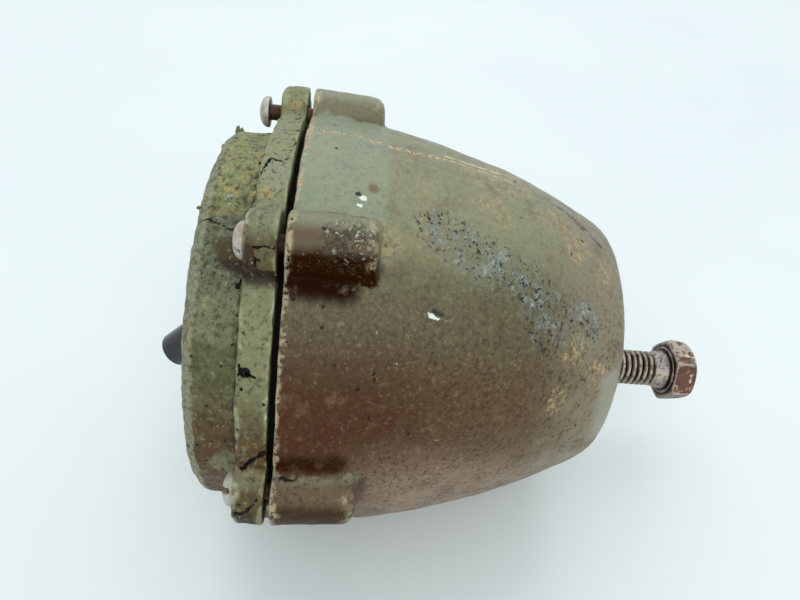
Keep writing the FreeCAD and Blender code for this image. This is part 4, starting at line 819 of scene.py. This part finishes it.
BEZEL_CRACKS = [
    ([(17, -9.4, 62.3), (14.6, -9.3, 63.0), (12.9, -8.9, 63.7), (10.8, -8.2, 64.4), (8.9, -7.2, 64.8),
      (9.2, -5.9, 64.7), (9.3, -4.3, 64.7), (8, -3.3, 64.9), (7.3, -1.8, 64.8)], 0.55, 0.8),
    ([(4.9, -2.6, 65.1), (0.5, -1.8, 65.4)], 0.4, 0.4),
    ([(-17.5, -4.1, 62.7), (-19, -3.3, 62.3), (-20.4, -2.2, 61.6)], 1.2, 0.9),
    ([(-6.8, -2.8, 64.9), (-7.2, -1.6, 64.9)], 1.0, 0.8),
    ([(-2, -11.2, 58.6), (-1.4, -10.6, 58.8)], 0.9, 0.6),
    ([(1.5, -11.2, 58.7), (1.9, -10.6, 58.9)], 0.9, 0.6),
    ([(22.1, -22.6, 53.0), (21.8, -20.9, 53.6), (22.9, -19.3, 53.4), (23.5, -17.4, 53.3),
      (24.4, -14.6, 52.9)], 0.5, 0.6),
    ([(37, -11.6, 45.2), (36.2, -10.8, 46.5)], 1.0, 0.8),
    ([(49.8, -16, 29.9), (49.8, -13.8, 30.2), (49.9, -11.4, 30.3), (52, -10.2, 31)], 0.4, 0.6),
    ([(53.8, -9.2, 36.6), (54.6, -9.1, 34.9), (55.2, -9.0, 33.6)], 0.9, 0.9),
    ([(55, -8.2, 34.9), (55.1, -7.2, 34.6)], 2.0, 1.0),
    ([(55.1, -7.2, 34.6), (55.2, -6.2, 34.1), (55.3, -4.4, 33.3)], 0.7, 0.8),
    ([(56.8, -8.2, 31.2), (57.4, -8.0, 29.5), (57.6, -8.9, 28.4), (58.2, -6.8, 27.6)], 0.5, 0.6),
    ([(63.1, -1.4, 14.7), (63.2, -2.6, 14.0)], 1.9, 1.4),
    ([(63.2, -2.8, 13.9), (63.8, -4.6, 12.8), (64.3, -5.8, 11.0), (65.1, -7.9, 8.9)], 0.9, 1.0),
    ([(63.1, -9.5, 11.4), (62.6, -9.9, 9.6)], 0.8, 0.7),
    ([(71.3, -3.0, 5.8), (72.3, -4.3, 4.2), (73.2, -6.4, 2.0), (73.2, -8.2, 1.9)], 0.5, 0.6),
    ([(40, -6.7, 60.3), (39.8, -4.4, 60.6), (39.7, -1.8, 61.0)], 0.45, 0.5),
    ([(40.4, -7.0, 59.2), (40.8, -5.9, 57.4), (40.7, -6.4, 55.0)], 0.6, 0.6),
    ([(-52, -21, -24), (-50, -18, -29), (-53, -14, -25)], 0.6, 0.7),
    ([(-60, -8.5, -26), (-62, -5, -20), (-63, -1.6, -19)], 0.7, 0.8),
    ([(-10, -8.4, -64), (-4, -6, -65), (2, -3, -65)], 0.7, 0.8),
]
CASING_CRACKS = [
    ([(66.0, 1.0, 9.6), (66.8, 3.2, 8.4), (66.9, 5.2, 8.4), (66.0, 7.2, 9.8)], 0.7, 0.6),
    ([(65.4, 3.0, 10.6), (65.4, 5.4, 10.5)], 1.0, 0.4),
]


def make_bezel():
    piece = voxel_copy("bezel", BEZEL_VOXEL)

    def shares(co):
        lug = lug_distance(co)
        radial = np.hypot(co[:, 0], co[:, 2]) / MM
        station = (co[:, 1] - JOINT_Y) / MM
        corner = (radial > 56) & (station < -4) & (lug > 5.5)
        flank = (radial > 60) & (lug > LUG_R - 2.5) & (lug < LUG_R + 7) & (station < -2.4)
        fill = np.where(corner | flank, 1.0, 0.02)
        return fill, np.where(station > -3, 0.02, 0.1)

    wear(piece, shares, BEZEL_PASSES, BEZEL_LUMPS)
    thin_out(piece, BEZEL_TRIANGLES)
    cut_cracks(piece, BEZEL_CRACKS)
    record_bend(piece, passes=12, scale=1.0)
    finish_piece(piece, bezel_enamel(), "bezel", "casing")


def make_flakes():
    """Loose scales of paint that stand up from the collar's edge."""
    work = bmesh.new()
    scales = (((-27.4, -22.6, 50.6), 2.6, 4.6, 0.2), ((-29.5, -20.4, 49.2), 1.6, 1.4, 1.4),
              ((17.2, -24.2, 53.4), 1.6, 2.4, 2.6), ((-11, -23.6, 55.3), 1.8, 1.8, 4.1))
    for centre, length, height, seed in scales:
        base = place(*centre)
        out = Vector((base.x, 0, base.z)).normalized()
        rows = []
        for i in range(9):
            t = i / 8
            rise = height * MM * (0.35 + 0.65 * abs(noise.noise(Vector((t * 3.1, seed, 1)))) * 2)
            rise *= math.sin(math.pi * (0.12 + 0.76 * t)) ** 0.5
            foot = base + Vector((0, (t - 0.5) * length * MM, 0)) - out * 0.8 * MM
            lean = Vector((0.3 * math.sin(seed), 0, 0.3 * math.cos(seed)))
            rows.append((foot, foot + (out + lean) * rise + Vector((0, 0.25 * math.sin(i * 2.4) * MM, 0))))
        sheets = []
        for side in (-0.14, 0.14):
            shift = Vector((0, 0, 1)).cross(out).normalized() * side * MM + out * side * 0.2 * MM
            across = out.cross(Vector((0, 1, 0))) * side * MM
            sheets.append([[work.verts.new(p + across + shift * 0.1) for p in row] for row in rows])
        front, back = sheets
        for i in range(8):
            work.faces.new((front[i][0], front[i + 1][0], front[i + 1][1], front[i][1]))
            work.faces.new((back[i][0], back[i][1], back[i + 1][1], back[i + 1][0]))
            work.faces.new((front[i][1], front[i + 1][1], back[i + 1][1], back[i][1]))
            work.faces.new((front[i][0], back[i][0], back[i + 1][0], front[i + 1][0]))
        for i in (0, 8):
            work.faces.new((front[i][0], front[i][1], back[i][1], back[i][0]))
    piece = add("paint_flakes", mesh_from("paint_flakes", work))
    f = plain("loose_paint", (92, 98, 66), (120, 112, 74), 0.6, 0.0, 1.5, 0.05)
    piece.data.materials.append(f.done())
    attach(piece, "casing")


def one_screw(work, angle, seat, slot_turn):
    """Round-headed screw of one lug: the dome is a grid of rings with the slot let into it."""
    turns = 96
    x0, z0 = lug_centre(angle)
    slot = Vector((math.cos(math.radians(slot_turn)), math.sin(math.radians(slot_turn))))
    profile = [(seat + SCREW_LENGTH, 0.02), (seat + SCREW_LENGTH, 1.9),
               (seat + SCREW_LENGTH - 0.7, SCREW_SHANK_R - 0.05), (seat + 0.4, SCREW_SHANK_R - 0.05),
               (seat + 0.05, SCREW_SHANK_R + 0.25), (seat, SCREW_HEAD_R - 0.35),
               (seat - 0.12, SCREW_HEAD_R - 0.08), (seat - 0.45, SCREW_HEAD_R)]
    steps = 26
    for i in range(1, steps + 1):
        r = SCREW_HEAD_R * math.cos(math.pi / 2 * i / steps)
        rise = SCREW_HEAD_T - 0.45
        profile.append((seat - 0.45 - rise * math.sin(math.pi / 2 * i / steps) ** 0.8, max(r, 0.02)))
    rings = []
    for station, r in profile:
        ring = []
        for k in range(turns):
            a = 2 * math.pi * k / turns
            dx, dz = r * math.sin(a), r * math.cos(a)
            here = station
            if station < seat - 0.6:
                off = abs(dx * slot.y - dz * slot.x)
                share = max(0.0, min(1.0, (SLOT_HALF + 0.12 - off) / 0.15))
                here = station + share * max(0.0, min(SLOT_DEPTH, seat - 0.7 - station))
            ring.append(work.verts.new(place(x0 + dx, here, z0 + dz)))
        rings.append(ring)
    for low, high in zip(rings, rings[1:]):
        for k in range(turns):
            j = (k + 1) % turns
            work.faces.new((low[k], low[j], high[j], high[k]))
    work.faces.new(rings[0][::-1])
    work.faces.new(rings[-1])


def make_screws():
    work = bmesh.new()
    for index, angle in enumerate(LUG_ANGLES):
        out = LOOSE_SCREW_GAP if angle == LOOSE_SCREW_ANGLE else 0.0
        one_screw(work, angle, SCREW_SEAT - out, 135 + 47 * (index - 2))
    piece = add("bezel_screws_worn", mesh_from("bezel_screws_worn", work))
    record_bend(piece, passes=3, scale=0.12)
    finish_piece(piece, screw_heads(), "bezel_screws", "casing")
    piece.data.set_sharp_from_angle(angle=math.radians(50))


def lathe(name, rows, angles, radius, centre):
    """Closed mesh round an axis along Y: rows are stations, radius(row, angle) in millimetres."""
    mesh = bmesh.new()
    rings = []
    for row in rows:
        ring = []
        for k in range(angles):
            a = 2 * math.pi * k / angles
            r = radius(row, a)
            ring.append(mesh.verts.new(place(centre[0] + r * math.sin(a), row,
                                             centre[1] + r * math.cos(a))))
        rings.append(ring)
    for low, high in zip(rings, rings[1:]):
        for k in range(angles):
            j = (k + 1) % angles
            mesh.faces.new((low[k], low[j], high[j], high[k]))
    mesh.faces.new(rings[0][::-1])
    mesh.faces.new(rings[-1])
    return add(name, mesh_from(name, mesh))


def make_bolt():
    """Mounting bolt with a real helical thread, a plain neck and a worn hexagon head."""
    low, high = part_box("mounting_bolt")
    centre = ((low.x + high.x) / 2 / MM, (low.z + high.z) / 2 / MM)
    start, head_end = (low.y - JOINT_Y) / MM, (high.y - JOINT_Y) / MM
    face = head_end - BOLT_HEAD_LENGTH
    neck = face - BOLT_NECK_LENGTH

    def thread(row, a):
        """Whitworth form with rounded crests and roots."""
        phase = (row / THREAD_PITCH + a / (2 * math.pi)) % 1.0
        down = min(1.0, max(0.0, (abs(2 * phase - 1) - 0.3) / 0.62))
        down = down * down * (3 - 2 * down)
        fade = min(1.0, max(0.0, (neck - row) / 1.5))
        return THREAD_R - THREAD_DEPTH * down * fade

    def shape(row, a):
        if row < neck:
            return thread(row, a) * min(1.0, 0.86 + (row - start) * 0.14)
        if row < face - 0.35:
            return THREAD_R + 0.05 + 0.75 * min(1.0, (row - neck) / (face - 0.35 - neck)) ** 0.7
        if row < face:
            return 8.6
        off = (a - math.radians(30)) % (math.pi / 3) - math.pi / 6
        flats = BOLT_HALF_FLATS / math.cos(off)
        limit = min(11.3 + (row - face) * 1.4, 9.7 + math.sqrt(max(0.0, head_end - row)) * 1.2)
        return (flats ** -20 + limit ** -20) ** (-1 / 20)

    rows = list(np.arange(start, neck, 0.18)) + list(np.arange(neck, face - 0.4, 0.4))
    rows += [face - 0.36, face - 0.35, face - 0.02, face, face + 0.1, face + 0.25]
    rows += [face + t for t in (0.5, 1, 2, 3, 4, 5, 6)]
    rows += [head_end - t for t in (1.4, 1.1, 0.8, 0.5, 0.25, 0.08, 0.0)]
    piece = lathe("mounting_bolt_worn", rows, 144, shape, centre)
    record_bend(piece, passes=3, scale=0.12)
    finish_piece(piece, rusty_bolt(), "mounting_bolt", "casing")
    piece.data.set_sharp_from_angle(angle=math.radians(38))


def make_grip():
    """Turned grip on the slanted stem, with a flat end."""
    root = place(0, HANDLE_ROOT, 0)
    down = Vector((0, -1, -1)).normalized()
    length = GRIP_END - GRIP_START

    def radius(row, a):
        """Radius along the grip, from its outer end."""
        body = GRIP_R - 0.1 + 0.1 * math.sin(math.pi * row / length)
        edge = max(0.0, GRIP_EDGE - min(row, length - row))
        return body - GRIP_EDGE + math.sqrt(max(0.0, GRIP_EDGE ** 2 - edge ** 2))

    rows = [0, 0.03, 0.1, 0.2, 0.35, 0.6] + list(np.linspace(1, length - 1, 30))
    rows += [length - t for t in (0.6, 0.35, 0.2, 0.1, 0.03, 0)]
    piece = lathe("handle_grip_turned", rows, 72, radius, (0, 0))
    turn = Vector((0, -1, 0)).rotation_difference(down).to_matrix().to_4x4()
    piece.data.transform(Matrix.Translation(-place(0, 0, 0)))
    piece.data.transform(turn)
    piece.data.transform(Matrix.Translation(root + down * GRIP_END * MM))
    finish_piece(piece, black_grip(), "handle_grip", "handle")
    piece.data.set_sharp_from_angle(angle=math.radians(38))


# --- surroundings -------------------------------------------------------------------------
def make_camera():
    data = bpy.data.cameras.new("camera")
    data.lens = CAMERA_LENS
    data.sensor_width = 36.0
    data.clip_start = 0.01
    camera = add("camera", data)
    back = -CAMERA_AHEAD.normalized()
    right = CAMERA_UP.cross(back).normalized()
    up = back.cross(right)
    turn = Matrix((right, up, back)).transposed().to_4x4()
    camera.matrix_world = Matrix.Translation(place(*CAMERA_PLACE)) @ turn
    bpy.context.scene.camera = camera


def make_floor():
    """Pale table top that touches the lower ears' rim and the cable gland."""
    mesh = bmesh.new()
    corners = ((-1, -1), (1, -1), (1, 1), (-1, 1))
    mesh.faces.new([mesh.verts.new((x * FLOOR_HALF, y * FLOOR_HALF, 0)) for x, y in corners])
    data = bpy.data.meshes.new("floor")
    mesh.to_mesh(data)
    mesh.free()
    floor = add("floor", data)
    turn = Matrix.Rotation(math.radians(FLOOR_TILT_DEG), 4, "X")
    low = min((turn.inverted() @ Vector(corner)).z for corner in floor_contacts())
    floor.matrix_world = turn @ Matrix.Translation((0, 0, low))
    f = Finish("pale_table", roughness=0.45)
    f.colour = tone(216, 223, 223)
    f.paint((211, 218, 219), f.ramp(f.noise(300, 3), 0.35, 0.75))
    f.raise_by(f.noise(40, 3), 0.05)
    data.materials.append(f.done())


def floor_contacts():
    """Lowest points at the front rim and at the gland."""
    gland_low, gland_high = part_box("gland_nut")
    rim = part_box("casing")[0].z
    return [place(0, 0, BEZEL_RIM_Z), Vector((0, gland_high.y, gland_low.z)),
            Vector((0.0315, JOINT_Y, rim))]


def area_light(name, towards, power, colour):
    data = bpy.data.lights.new(name, "AREA")
    data.shape = "DISK"
    data.size = LIGHT_SIZE
    data.energy = power
    data.color = colour
    lamp = add(name, data)
    away = Vector(towards).normalized()
    lamp.location = place(0, 40, 0) + away * LIGHT_DISTANCE
    lamp.rotation_mode = "QUATERNION"
    lamp.rotation_quaternion = away.to_track_quat("Z", "Y")


def make_light():
    world = bpy.data.worlds.new("studio")
    world.use_nodes = True
    background = world.node_tree.nodes["Background"]
    background.inputs["Color"].default_value = (0.90, 0.97, 1.0, 1.0)
    background.inputs["Strength"].default_value = 0.9
    bpy.context.scene.world = world
    area_light("window", (-0.6, -0.1, 0.8), 16.0, (0.97, 0.99, 1.0))
    area_light("fill", (0.72, 0.0, 0.6), 24.0, (1.0, 0.98, 0.95))
    bpy.context.scene.view_settings.view_transform = "Standard"


make_camera()
make_light()
make_floor()
paint_nodes()
make_casing()
make_bezel()
make_flakes()
make_screws()
make_bolt()
make_grip()
